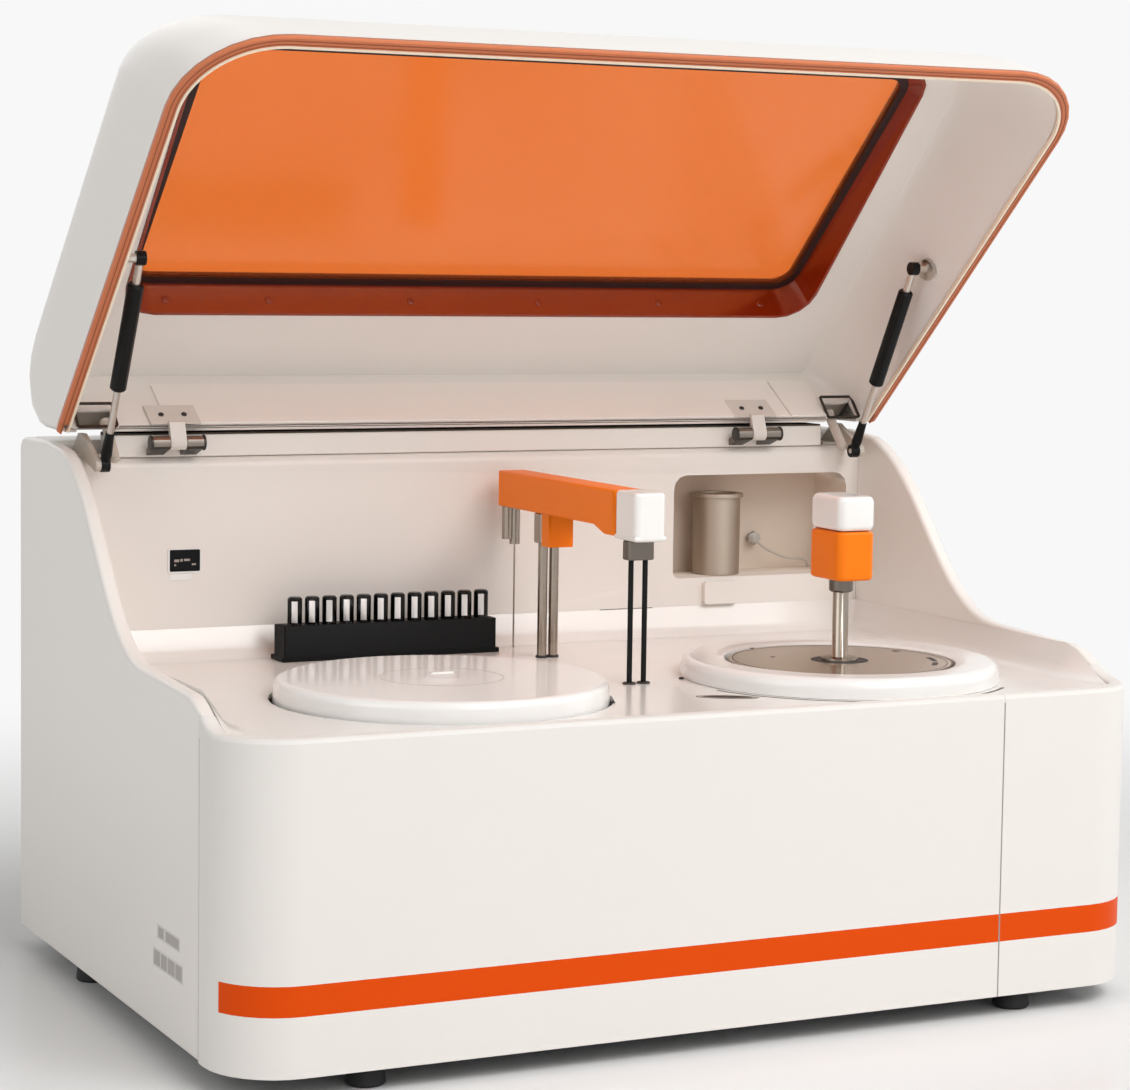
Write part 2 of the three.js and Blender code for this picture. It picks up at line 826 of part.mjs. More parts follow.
// Back wall: an upright skin with a rounded upper edge, a niche and a boss below it
function backWall() {
  const zLow = deckZ - wallSkirt;
  const zHigh = wallTopZ;
  const profile = [new THREE.Vector2(wallY, zLow)];
  const bend = (radius, reverse) => {
    const points = Array.from({ length: cornerSteps + 1 }, (_, i) => {
      const turn = Math.PI / 2 * i / cornerSteps;
      return new THREE.Vector2(wallY + wallRound - radius * Math.cos(turn),
        zHigh - wallRound + radius * Math.sin(turn));
    });
    return reverse ? points.reverse() : points;
  };
  profile.push(...bend(wallRound, false));
  profile.push(
    new THREE.Vector2(wallY + wallReturn, zHigh),
    new THREE.Vector2(wallY + wallReturn, zHigh - skin));
  profile.push(...bend(wallRound - skin, true));
  profile.push(new THREE.Vector2(wallY + skin, zLow));
  const xLow = nicheLeftX;
  const xHigh = xLow + nicheWidth;
  const floor = nicheFloorZ;
  const niche = (grow) => outline(xLow - grow, xHigh + grow, floor - grow, floor + nicheHeight + grow,
    nicheRound / 2 + grow, nicheRound + grow);
  const back = wallY + nicheDepth;
  const bossX = nicheLeftX + bossFromNicheLeft;
  const bossTop = floor - skin;
  const boss = outline(bossX, bossX + bossWidth, bossTop - bossHeight, bossTop, bossProud / 2);
  return cut(
    join(
      alongX(profile, insideLeft, insideRight),
      alongY(niche(skin), wallY + skin / 2, back + skin),
      alongY(boss, wallY - bossProud, wallY + skin / 2)),
    alongY(niche(0), wallY - bossProud - overrun, back));
}

// Cover behind the wall: a tray turned down, its front upstand standing above the wall's edge
function rearTopCover() {
  const front = wallY + wallReturn + gap;
  const edge = rearY - skin - gap;
  const top = coverTopZ;
  const low = wallTopZ - skin;
  const profile = [
    new THREE.Vector2(front, low),
    new THREE.Vector2(front, top - skin),
    new THREE.Vector2(front + skin, top),
    new THREE.Vector2(edge, top),
    new THREE.Vector2(edge, top - skin - lipDepth),
    new THREE.Vector2(edge - skin, top - skin - lipDepth),
    new THREE.Vector2(edge - skin, top - skin),
    new THREE.Vector2(front + skin, top - skin),
    new THREE.Vector2(front + skin, low),
  ];
  return alongX(profile, insideLeft, insideRight);
}

function slot(xCentre, zCentre, length, width) {
  const points = outline(xCentre - length / 2, xCentre + length / 2, zCentre - width / 2,
    zCentre + width / 2, width / 2, width / 2, 1, 1);
  return new THREE.Path(points);
}

function inletPlace() {
  return { x: leftX + inletFromLeft, z: baseZ + inletHeight };
}

function rearPanel() {
  const shape = shapeOf(outline(insideLeft, insideRight, baseZ, coverTopZ - rearPanelBelowCover, lipRound));
  for (const side of [-1, 1]) {
    for (let i = 0; i < ventCount; i += 1) {
      const x = side * (cabinetWidth / 2 - ventInset);
      shape.holes.push(slot(x, baseZ + ventLowestHeight + i * ventPitch, ventLength, ventWidth));
    }
  }
  const { x, z } = inletPlace();
  const opening = outline(x - inletWidth / 2 - gap, x + inletWidth / 2 + gap,
    z - inletTall / 2 - gap, z + inletTall / 2 + gap, inletBezel);
  shape.holes.push(new THREE.Path(opening));
  return alongY(shape, rearY - skin, rearY);
}

// Mains inlet: a bezel with a chamfered socket, three blades and an opening for the rocker
function powerInlet() {
  const { x, z } = inletPlace();
  const face = outline(x - inletWidth / 2, x + inletWidth / 2, z - inletTall / 2, z + inletTall / 2,
    inletBezel - gap);
  const socketZ = z - socketBelowCentre;
  const half = socketWidth / 2;
  const tall = socketTall / 2;
  const socket = [
    new THREE.Vector2(x - half, socketZ - tall),
    new THREE.Vector2(x + half, socketZ - tall),
    new THREE.Vector2(x + half, socketZ + tall - socketChamfer),
    new THREE.Vector2(x + half - socketChamfer, socketZ + tall),
    new THREE.Vector2(x - half + socketChamfer, socketZ + tall),
    new THREE.Vector2(x - half, socketZ + tall - socketChamfer),
  ];
  const rockerZ = z + rockerAboveCentre;
  const rockerHole = outline(x - rockerWidth / 2 - gap, x + rockerWidth / 2 + gap,
    rockerZ - rockerTall / 2 - gap, rockerZ + rockerTall / 2 + gap, gap);
  const body = cut(
    alongY(face, rearY - inletDepth, rearY),
    alongY(socket, rearY - socketDepth, rearY + overrun),
    alongY(rockerHole, rearY - rockerDepth - rockerTall / 2, rearY + overrun));
  const blades = [[-pinSpacing, 0], [pinSpacing, 0], [0, pinTall]].map(([dx, dz]) =>
    box(x + dx - pinWidth / 2, x + dx + pinWidth / 2, rearY - socketDepth - skin / 2,
      rearY - socketDepth + pinLength, socketZ + dz - pinTall, socketZ + dz));
  return join(body, ...blades);
}

// Rocker: two faces tilted both ways, drawn about the cross axis that it turns on
const rockerAxisY = rearY - rockerDepth / 2;

function rocker() {
  const half = rockerTall / 2;
  const slope = half * Math.tan(rockerTilt);
  const back = -rockerDepth / 2;
  const face = rockerDepth / 2 - slope - gap;
  const reach = half * Math.cos(rockerTilt) - gap;
  const points = [
    new THREE.Vector2(back, -reach / 2),
    new THREE.Vector2(face, -reach),
    new THREE.Vector2(face - slope, 0),
    new THREE.Vector2(face, reach),
    new THREE.Vector2(back, reach / 2),
  ];
  return alongX(points, -rockerWidth / 2, rockerWidth / 2);
}

function foot() {
  const top = baseZ + panClearance - gap;
  return turned([
    [0, 0], [footRadius - footChamfer, 0], [footRadius, footChamfer],
    [footTopRadius, baseZ - footChamfer], [footTopRadius - footChamfer, baseZ - footChamfer / 2],
    [footTopRadius - footChamfer, top], [0, top],
  ], drumSteps);
}

// Sample tray: cover, turntable with its cups, and the drive below
const rotorTopZ = deckZ - rotorDrop;

function trayCover() {
  const low = rotorTopZ + gap;
  const top = deckZ + coverHeight;
  const wall = coverSkirt;
  const under = top - coverTop;
  return turned([
    [0, top + knobHeight],
    [knobRadius - knobHeight / 2, top + knobHeight],
    [knobRadius, top],
    ...quarterRound(coverRadius, top, coverRound).reverse(),
    [coverRadius, low],
    [coverRadius - wall, low],
    [coverRadius - wall, under],
    [0, under],
  ]);
}

function sampleRotor() {
  const low = rotorTopZ - rotorThickness;
  let rotor = turned([
    [0, low], [rotorRadius + coverSkirt, low], [rotorRadius + coverSkirt, rotorTopZ],
    [0, rotorTopZ],
  ]);
  for (let i = 0; i < cupCount; i += 1) {
    const turn = 2 * Math.PI * i / cupCount;
    rotor = rotor.add(moved(rod(cupRadius, low, rotorTopZ + cupHeight, smallSteps),
      cupCircleRadius * Math.cos(turn), cupCircleRadius * Math.sin(turn), 0));
  }
  return rotor.add(rod(motorShaftRadius * 2, rotorTopZ - rotorThickness, rotorTopZ + cupHeight / 2));
}

function trayDrive() {
  const top = rotorTopZ - rotorThickness - gap;
  const body = top - motorTopGap;
  const foot = panTopZ + gap;
  return turned([
    [0, foot], [motorFlangeRadius, foot], [motorFlangeRadius, foot + hubFlangeHeight],
    [motorRadius, foot + hubFlangeHeight], [motorRadius, body],
    [motorShaftRadius, body], [motorShaftRadius, top], [0, top],
  ], drumSteps);
}

// Reaction unit: fixed ring, turning disc with its cuvette band, and the hollow hub below
const reactionDiscZ = deckZ + ringHeight - reactionDiscDrop;

function reactionRing() {
  const top = deckZ + ringHeight;
  const low = deckZ + gap;
  return turned([
    [ringWellRadius, low],
    [ringRadius, low],
    ...quarterRound(ringRadius, top, ringRound),
    [ringCrestRadius, top],
    [ringWellRadius, top - reactionDiscDrop],
    [ringWellRadius, low],
  ]);
}

function reactionDisc() {
  const low = reactionDiscZ - reactionDiscThickness;
  const bore = columnRadius + 2 * gap;
  const inner = cuvetteCircleRadius - cuvetteBandWidth / 2;
  const outer = cuvetteCircleRadius + cuvetteBandWidth / 2;
  return turned([
    [bore, low], [inner, low], [inner, low - cuvetteBandDepth], [outer, low - cuvetteBandDepth],
    [outer, low], [reactionDiscRadius, low], [reactionDiscRadius, reactionDiscZ],
    [bore, reactionDiscZ], [bore, low],
  ]);
}

function reactionHub() {
  const top = reactionDiscZ - reactionDiscThickness - gap;
  const foot = panTopZ + gap;
  const bore = columnRadius + gap;
  return turned([
    [bore, foot], [hubFlangeRadius, foot], [hubFlangeRadius, foot + hubFlangeHeight],
    [hubRadius, foot + hubFlangeHeight], [hubRadius, top], [bore, top], [bore, foot],
  ], drumSteps);
}

// Mixing head on its column
const headZ = deckZ + headFromDeck;

function mixerColumn() {
  const flangeLow = reactionDiscZ + gap;
  const flangeTop = flangeLow + columnFlangeHeight;
  const top = headZ + columnGrip;
  const foot = panTopZ + hubFlangeHeight;
  return turned([
    [0, foot], [columnRadius, foot], [columnRadius, flangeLow], [columnFlangeRadius, flangeLow],
    [columnFlangeRadius, flangeTop - columnFlangeHeight / 3],
    [columnFlangeRadius - columnFlangeHeight, flangeTop],
    [columnRadius, flangeTop], [columnRadius, top], [0, top],
  ], drumSteps);
}

function mixerCollar() {
  const bore = columnRadius + gap;
  const low = headZ - collarHeight;
  const high = headZ - gap;
  const chamfer = collarHeight / 8;
  return turned([
    [bore, low], [collarRadius - chamfer, low], [collarRadius, low + chamfer],
    [collarRadius, high], [bore, high], [bore, low],
  ], drumSteps);
}

function mixerHead() {
  const block = outline(-headWidth / 2, headWidth / 2, -headDepth / 2, headDepth / 2, headCorner);
  const bore = rod(columnRadius + gap, headZ - overrun, headZ + columnGrip + headTravel + gap);
  return cut(upright(block, headZ, headZ + headHeight, headBevel), bore);
}

function mixerCap() {
  const low = headZ + headHeight + gap;
  const block = outline(-headWidth / 2, headWidth / 2, -headDepth / 2, headDepth / 2, headCorner);
  const back = headDepth / 2 + gap;
  const spine = outline(-spineWidth / 2, spineWidth / 2, back, back + spineDepth, spineDepth / 3);
  const bridge = outline(-spineWidth / 2, spineWidth / 2, headDepth / 4, back + spineDepth, spineDepth / 3);
  const bevelClear = low + capBevel;
  return join(
    upright(block, low, low + headCapHeight, capBevel),
    upright(bridge, bevelClear, bevelClear + headCapHeight / 2, 0),
    upright(spine, bevelClear - spineLength, bevelClear + headCapHeight / 2, 0));
}

// Sampling arm: a tapered housing on two lift posts, with two probes and a fine needle
const armCapRearY = armFrontY + armCapLength;
const armUnderRear = armTopZ - armRearTall;

function armHousing() {
  const start = armCapRearY + gap;
  const blockFront = postY - postClampDepth / 2 - gap;
  const profile = [
    new THREE.Vector2(start, armTopZ - armFrontTall),
    new THREE.Vector2(start + armCapLength / 2, armTopZ - armFrontTall),
    new THREE.Vector2(start + armCapLength, armUnderRear),
    new THREE.Vector2(armRearY, armUnderRear),
    new THREE.Vector2(armRearY, armTopZ),
    new THREE.Vector2(start, armTopZ),
  ];
  const half = armWidth / 2;
  const blockX = half - armBlockInset;
  const block = outline(armX - blockX, armX + blockX, blockFront - armBlockLength, blockFront, armBevel);
  return join(
    alongX(profile, armX - half, armX + half, armBevel),
    upright(block, armUnderRear - armBlockDrop, armUnderRear + armBevel));
}

function armCap() {
  const half = armWidth / 2;
  const plan = outline(armX - half, armX + half, armFrontY, armCapRearY, armBevel * 2);
  return upright(plan, armTopZ - armCapTall, armTopZ + gap, armBevel);
}

function probeCollar() {
  const top = armTopZ - armCapTall - gap;
  const y = probeY;
  const plan = outline(armX - probeCollarWidth / 2, armX + probeCollarWidth / 2,
    y - probeCollarDepth / 2, y + probeCollarDepth / 2, probeCollarDepth / 4);
  const holes = [-1, 1].map((side) => moved(
    rod(probeRadius + gap, top - probeCollarTall - overrun, top + overrun, smallSteps),
    armX + side * probeSpacing / 2, y, 0));
  return cut(upright(plan, top - probeCollarTall, top, probeCollarDepth / 12), ...holes);
}

function probeRod() {
  const top = armTopZ - armCapTall - 2 * gap;
  return rod(probeRadius, deckZ - deckThickness - probeLengthBelowDeck, top, smallSteps);
}

// The two lift posts and the clamp that ties them together, one welded piece
function liftPosts() {
  const top = armUnderRear - gap;
  const y = postY;
  const clamp = outline(armX - postClampWidth / 2, armX + postClampWidth / 2,
    y - postClampDepth / 2, y + postClampDepth / 2, postClampDepth / 5);
  const low = deckZ - deckThickness - postLengthBelowDeck;
  const posts = [-1, 1].map((side) => moved(rod(postRadius, low, top - postClampTall / 2),
    armX + side * postSpacing / 2, y, 0));
  return join(upright(clamp, top - postClampTall, top, postClampDepth / 12), ...posts);
}

// Needle block: two short tubes side by side, the front one holding the needle
function needleBlock() {
  const top = armUnderRear - gap;
  const y = needleY;
  const low = top - needleBlockTall;
  const tube = (dx, drop) => moved(rod(needleTubeRadius, low + drop, top), armX + dx, y, 0);
  const needleLow = deckZ - deckThickness - needleLengthBelowDeck;
  return join(
    tube(0, 0),
    tube(-needleBlockSpacing, needleTubeRadius),
    box(armX - needleBlockSpacing, armX, y - needleTubeRadius / 2, y + needleTubeRadius / 2,
      low + needleBlockTall / 2, top),
    moved(rod(needleRadius, needleLow, low + needleTubeRadius, smallSteps), armX, y, 0));
}

function liftUnit() {
  const y = postY;
  const foot = panTopZ + gap;
  const plan = outline(armX - liftUnitWidth / 2, armX + liftUnitWidth / 2,
    y - liftUnitDepth / 2, y + liftUnitDepth / 2, skin);
  const floor = deckZ - deckThickness - postLengthBelowDeck - armTravel - overrun;
  const holes = [-1, 1].map((side) => moved(
    rod(postRadius + gap, floor, foot + liftUnitHeight + overrun), armX + side * postSpacing / 2, y, 0));
  return cut(upright(plan, foot, foot + liftUnitHeight), ...holes);
}

// Tube rack: a stepped block with a row of stoppered tubes standing in it
function sampleRack() {
  const x = leftX + cabinetWidth * rackPlaceShare;
  const y = wallY - rackFromWall;
  const rackLength = cabinetWidth * rackLengthShare;
  const tubePitch = (rackLength - tubeFromRackLeft - tubeFromRackRight) / (tubeCount - 1);
  const low = deckZ + gap;
  const foot = outline(x, x + rackLength, y, y + rackDepth, rackStep / 2);
  const upper = outline(x + rackStep, x + rackLength - rackStep, y + rackStep, y + rackDepth - rackStep,
    rackStep / 2);
  let rack = join(
    upright(foot, low, low + rackStepHeight),
    upright(upper, low + rackStepHeight / 2, low + rackHeight));
  const first = x + tubeFromRackLeft;
  const shoulder = tubeRadius / 4;
  for (let i = 0; i < tubeCount; i += 1) {
    const tube = turned([
      [0, low + rackStepHeight], [tubeRadius, low + rackStepHeight],
      [tubeRadius, low + rackHeight + tubeAboveRack - shoulder],
      [tubeRadius - shoulder, low + rackHeight + tubeAboveRack],
      [0, low + rackHeight + tubeAboveRack],
    ], smallSteps);
    rack = rack.add(moved(tube, first + i * tubePitch, y + rackDepth / 2, 0));
  }
  return rack;
}

function statusWindow() {
  const x = leftX + statusFromLeft;
  const z = deckZ + statusAboveDeck;
  const face = outline(x - statusWidth / 2, x + statusWidth / 2, z - statusTall / 2, z + statusTall / 2,
    statusProud);
  return alongY(face, wallY - gap - statusProud, wallY - gap, statusProud / 3, 1);
}

function washCylinder() {
  const low = nicheFloorZ + gap;
  const top = low + washHeight;
  return turned([
    [0, low], [washRadius, low], [washRadius, top - washFlangeHeight],
    [washFlangeRadius, top - washFlangeHeight], [washFlangeRadius, top],
    [washRadius - washFlangeHeight, top], [washRadius - washFlangeHeight, top - washFlangeHeight / 2],
    [0, top - washFlangeHeight / 2],
  ], drumSteps);
}

// Hose fitting on the niche's back, with the thin hose that sags from it to the niche floor
function nicheHose() {
  const x = nicheLeftX + fittingFromNicheLeft;
  const z = nicheFloorZ + fittingAboveNiche;
  const back = wallY + nicheDepth - gap;
  const tip = back - fittingLength;
  const floor = nicheFloorZ + gap;
  const sag = hoseReachShares.map((share, i) => new THREE.Vector3(
    x + hoseReach * share, tip - fittingNutLength, z - hoseDrop * hoseDropShares[i]));
  const route = new THREE.CatmullRomCurve3([
    new THREE.Vector3(x, tip + fittingNutLength, z),
    ...sag,
    new THREE.Vector3(x + hoseReach, tip, floor + hoseRadius),
  ]);
  const ring = new THREE.Shape(Array.from({ length: smallSteps }, (_, i) => {
    const turn = 2 * Math.PI * i / smallSteps;
    return new THREE.Vector2(hoseRadius * Math.cos(turn), hoseRadius * Math.sin(turn));
  }));
  const hose = new THREE.ExtrudeGeometry(ring, { steps: drumSteps, extrudePath: route, bevelEnabled: false });
  return join(
    rodAlongY(fittingRadius, tip, back, x, z, smallSteps),
    rodAlongY(fittingNutRadius, tip + fittingNutLength, tip + 2 * fittingNutLength, x, z, nutSides),
    solidOf(hose));
}

// Inner units
function innerBlock(xLow, yLow, wide, deep, tall, round) {
  const plan = outline(xLow, xLow + wide, yLow, yLow + deep, round);
  return upright(plan, panTopZ + gap, panTopZ + gap + tall);
}

const boardLeftX = leftX + supplyFromLeft + supplyWidth + boardFromSupply;

function powerSupply() {
  return innerBlock(leftX + supplyFromLeft, rearY - supplyFromRear - supplyDepth,
    supplyWidth, supplyDepth, supplyTall, skin);
}

function controlBoard() {
  const x = boardLeftX;
  const y = rearY - boardFromRear - boardDepth;
  const low = panTopZ + gap;
  const under = low + boardStandoff;
  const top = under + boardThickness;
  const edge = 2 * standoffRadius;
  let board = box(x, x + boardWidth, y, y + boardDepth, under, top);
  for (const dx of [edge, boardWidth - edge]) {
    for (const dy of [edge, boardDepth - edge]) {
      board = board.add(moved(rod(standoffRadius, low, top, smallSteps), x + dx, y + dy, 0));
    }
  }
  const chipShares = [[0.12, 0.2, 0.3, 0.75], [0.4, 0.15, 0.62, 0.4], [0.72, 0.3, 0.88, 0.8]];
  for (const [x0, y0, x1, y1] of chipShares) {
    board = board.add(box(x + boardWidth * x0, x + boardWidth * x1, y + boardDepth * y0,
      y + boardDepth * y1, top - boardThickness / 2, top + boardPartTall));
  }
  return board;
}

function photometer() {
  const x = rightX - photometerFromRight - photometerWidth;
  const y = rearY - photometerFromRear - photometerDepth;
  const body = innerBlock(x, y, photometerWidth, photometerDepth, photometerTall, skin);
  const z = panTopZ + photometerTall - lampRadius * 2;
  return body.add(rodAlongY(lampRadius, y - lampLength, y + skin, x + photometerWidth / 2, z));
}

function syringePump() {
  const x = boardLeftX + boardWidth + pumpFromBoard;
  const y = rearY - pumpFromRear - pumpDepth;
  const body = innerBlock(x, y, pumpWidth, pumpDepth, pumpTall, skin);
  const low = panTopZ + pumpTall;
  const barrels = [1, 3].map((quarter) => moved(rod(syringeRadius, low - skin, low + syringeTall),
    x + pumpWidth * quarter / 4, y + pumpDepth / 2, 0));
  return join(body, ...barrels);
}

// Lid form at one share of its height: insets and bulges follow cubic curves from rim to top
function bezierShare(values, t) {
  const u = 1 - t;
  return values[0] * u ** 3 + 3 * values[1] * u * u * t + 3 * values[2] * u * t * t + values[3] * t ** 3;
}

function lidTop(inset) {
  return (y) => lidTopRear - lidSlope * y - inset;
}

function lidRing(t, inset, drop) {
  const heightShare = bezierShare(lidRiseShares, t);
  const top = lidTop(inset);
  const sideInset = inset + bezierShare(lidSideInsets, t);
  const plan = outline(
    -lidHalf + sideInset, lidHalf - sideInset,
    -lidLength + inset + bezierShare(lidFrontInsets, t), bezierShare(lidRearBulges, t) - inset,
    THREE.MathUtils.lerp(lidCornerFront, lidCornerFrontTop, t) - inset,
    THREE.MathUtils.lerp(lidCornerRear, lidCornerRearTop, t) - inset / 2, wideSteps, cornerSteps);
  const low = lidRimZ - drop;
  return ringAt(withSidePoints(plan), (y) => low + (top(y) - low) * heightShare);
}

function lidForm(inset, drop) {
  const rings = lidLevelShares.map((t) => lidRing(t, inset, 0));
  if (drop > 0) rings.unshift(ringAt(lidRing(0, inset, 0), lidRimZ - drop));
  return loft(rings);
}

function windowPlan(inset, lean = 0) {
  return outline(
    -lidHalf + windowInsetLeft + inset, lidHalf - windowInsetRight - inset,
    -windowFrontFromHinge + inset + lean, -windowRearFromHinge - inset,
    windowCorner - inset, windowCorner - inset, cornerSteps + 1, cornerSteps + 1);
}

// Notches at both ends of the lid's hinge edge, where the strut brackets reach through
function bracketNotches() {
  return [-1, 1].map((side) => {
    const x = side * (lidHalf - strutInset);
    return box(x - notchWidth / 2, x + notchWidth / 2, -strutInset, strutInset,
      lidRimZ - overrun, lidRimZ + notchRise);
  });
}

function lidShell() {
  const tall = lidTopFront + overrun;
  const opening = upright(windowPlan(paneMargin + paneOverlap, windowFrontLean), lidTopRear / 2, tall);
  return cut(lidForm(0, 0), lidForm(lidSkin, overrun), opening, ...bracketNotches());
}

function linerPlane(offset) {
  return (y) => linerPlaneRear - linerSlope * y + offset;
}

// Liner tray: walls lean in from the rim to a flat plane that carries the window
function linerRing(share, grow, height) {
  const side = trimWidth - grow + linerSideInset * share;
  const plan = outline(
    -lidHalf + side, lidHalf - side,
    -lidLength + trimWidth - grow + linerFrontInset * share,
    -(trimWidth - linerRearAhead / 2) + grow - linerRearInset * share,
    THREE.MathUtils.lerp(linerCornerFront, linerCornerFrontTop, share) + grow,
    linerCornerRear + grow, wideSteps - 2, 2);
  return ringAt(withSidePoints(plan), height);
}

function linerForm(grow, drop) {
  const between = (share) => (y) => THREE.MathUtils.lerp(lidRimZ, linerPlane(grow)(y), share);
  return loft([
    ...(drop > 0 ? [linerRing(0, grow, lidRimZ - drop)] : []),
    linerRing(0, grow, lidRimZ),
    linerRing(1 - linerCreaseShare, grow, between(1 - linerCreaseShare)),
    linerRing(1 + linerCreaseShare / 2, grow, linerPlane(grow)),
  ]);
}

function lidLiner() {
  const tall = lidTopFront;
  return cut(
    linerForm(linerSkin, 0),
    linerForm(0, overrun),
    upright(windowPlan(0), linerPlaneRear / 2, tall),
    ...bracketNotches());
}

// Window frame: a ring whose inner face leans in from the liner to the pane
function windowFrame() {
  const top = lidTop(lidSkin + 3 * gap + paneThickness);
  const low = linerPlane(-frameProud);
  const ring = (inset, height, lean = 0) => ringAt(windowPlan(inset, lean), height);
  const past = (height, extra) => (y) => height(y) + extra;
  return cut(
    loft([ring(gap, low), ring(gap, top, windowFrontLean)]),
    loft([
      ring(gap + frameWall, past(low, -overrun)),
      ring(gap + frameWall, low),
      ring(gap + frameTaper, top, windowFrontLean),
      ring(gap + frameTaper, past(top, overrun), windowFrontLean),
    ]));
}

function lidWindow() {
  const high = lidTop(lidSkin + 2 * gap);
  const low = lidTop(lidSkin + 2 * gap + paneThickness);
  const plan = windowPlan(paneMargin, windowFrontLean);
  return loft([ringAt(plan, low), ringAt(plan, high)]);
}

// Rim trim on the lid's two sides and front
function rimTrim() {
  const rim = (inset) => outline(-lidHalf + inset, lidHalf - inset, -lidLength + inset, -inset / 2,
    lidCornerFront - inset, lidCornerRear / 2, wideSteps, 1);
  const top = rimAboveAxis + trimHeight;
  return cut(
    upright(rim(0), rimAboveAxis, top, trimHeight / 4, 1),
    upright(rim(trimWidth), rimAboveAxis - overrun, top + overrun),
    box(-lidHalf + trimWidth / 2, lidHalf - trimWidth / 2, -trimWidth - overrun, overrun,
      rimAboveAxis - overrun, top + overrun));
}

// Lid hinges: a leaf on the liner's rear wall turns on a pin held by a leaf on the back wall
function linerRearY(z) {
  const share = (z - lidRimZ) / (linerPlaneRear - lidRimZ);
  return -(trimWidth - linerRearAhead / 2) - linerRearInset * share;
}

function lidLeaf() {
  const near = lidRimZ + gap;
  const far = near + lidLeafLength;
  const faceNear = linerRearY(near) - gap;
  const faceFar = linerRearY(far) - gap;
  const plate = [
    new THREE.Vector2(faceNear, near),
    new THREE.Vector2(faceFar, far),
    new THREE.Vector2(faceFar - leafThickness, far),
    new THREE.Vector2(faceNear - leafThickness, near),
  ];
  const web = [
    new THREE.Vector2(-knuckleRadius, 0),
    new THREE.Vector2(0, knuckleRadius / 2),
    new THREE.Vector2(faceNear, near - 2 * gap),
    new THREE.Vector2(faceNear - leafThickness, near + leafThickness * 2),
    new THREE.Vector2(faceNear - leafThickness - hingeWeb / 2, near),
  ];
  const half = knuckleWidth / 2;
  return cut(
    join(
      alongX(plate, -hingeWidth / 2, hingeWidth / 2),
      alongX(web, -half, half),
      rodAlongX(knuckleRadius, -half, half, 0, 0)),
    rodAlongX(hingePinRadius + gap, -half - overrun, half + overrun, 0, 0));
}

function bodyLeaf() {
  const seatZ = wallTopZ + gap;
  const seatFront = wallY + wallRound;
  const half = knuckleWidth / 2 + gap;
  const ends = [[-hingeWidth / 2, -half], [half, hingeWidth / 2]];
  const web = [
    new THREE.Vector2(hingeY, hingeZ - knuckleRadius),
    new THREE.Vector2(seatFront, seatZ),
    new THREE.Vector2(seatFront + hingeWeb, seatZ),
    new THREE.Vector2(seatFront + hingeWeb, seatZ + leafThickness),
    new THREE.Vector2(hingeY + knuckleRadius * webReachShare, hingeZ),
  ];
  const parts = ends.flatMap(([low, high]) => [
    rodAlongX(knuckleRadius, low, high, hingeY, hingeZ),
    alongX(web, low, high),
  ]);
  return join(
    box(-hingeWidth / 2, hingeWidth / 2, seatFront, seatFront + bodyLeafLength, seatZ, seatZ + leafThickness),
    rodAlongX(hingePinRadius, -hingeWidth / 2 + gap, hingeWidth / 2 - gap, hingeY, hingeZ),
    ...parts);
}

// Gas struts, drawn in a frame of their own: lower pivot at the origin, rod along +Z
const strutPivotY = hingeY + strutPivotBehindAxis;
const strutPivotZ = hingeZ + strutPivotAboveAxis;
const lidTurn = new THREE.Matrix4().makeRotationX(-lidOpenTilt);
const studPlace = new THREE.Vector3(0, -strutStudFromHinge, strutStudAboveAxis).applyMatrix4(lidTurn);
const strutReachY = studPlace.y - strutPivotBehindAxis;
const strutReachZ = studPlace.z - strutPivotAboveAxis;
const strutLength = Math.hypot(strutReachY, strutReachZ);
const strutLean = Math.atan2(-strutReachY, strutReachZ);

function strutRod() {
  const fitting = turned([
    [0, strutEyeRadius * fittingFootShares[1]],
    [strutFittingRadius * fittingFootShares[0], strutEyeRadius * fittingFootShares[1]],
    [strutFittingRadius, strutFittingLength * fittingBulgeShare],
    [strutRodRadius * fittingNeckShare, strutFittingLength], [0, strutFittingLength],
  ], rodSteps);
  const half = strutEyeWidth / 2;
  return cut(
    join(
      rodAlongX(strutEyeRadius, -half, half, 0, 0),
      fitting,
      rod(strutRodRadius, strutFittingLength / 2, strutRodLength)),
    rodAlongX(strutPinRadius + gap, -half - overrun, half + overrun, 0, 0));
}

function strutTube() {
  const top = strutLength - strutEyeRadius;
  const tubeTop = strutLength - strutLength * strutNeckShare;
  const tubeLow = tubeTop - strutTubeLength;
  const half = strutEyeWidth / 2;
  const body = turned([
    [0, tubeLow], [strutTubeRadius - strutTubeRound, tubeLow],
    [strutTubeRadius, tubeLow + strutTubeRound],
    [strutTubeRadius, tubeTop - strutTubeRound],
    [strutTubeRadius - strutTubeRound, tubeTop],
    [strutNeckRadius, tubeTop], [strutNeckRadius, top + strutEyeRadius / 2], [0, top + strutEyeRadius / 2],
  ], rodSteps);
  return cut(
    join(body, rodAlongX(strutEyeRadius, -half, half, 0, strutLength)),
    rod(strutRodRadius + gap, tubeLow - overrun, tubeLow + strutBoreDepth, rodSteps));
}

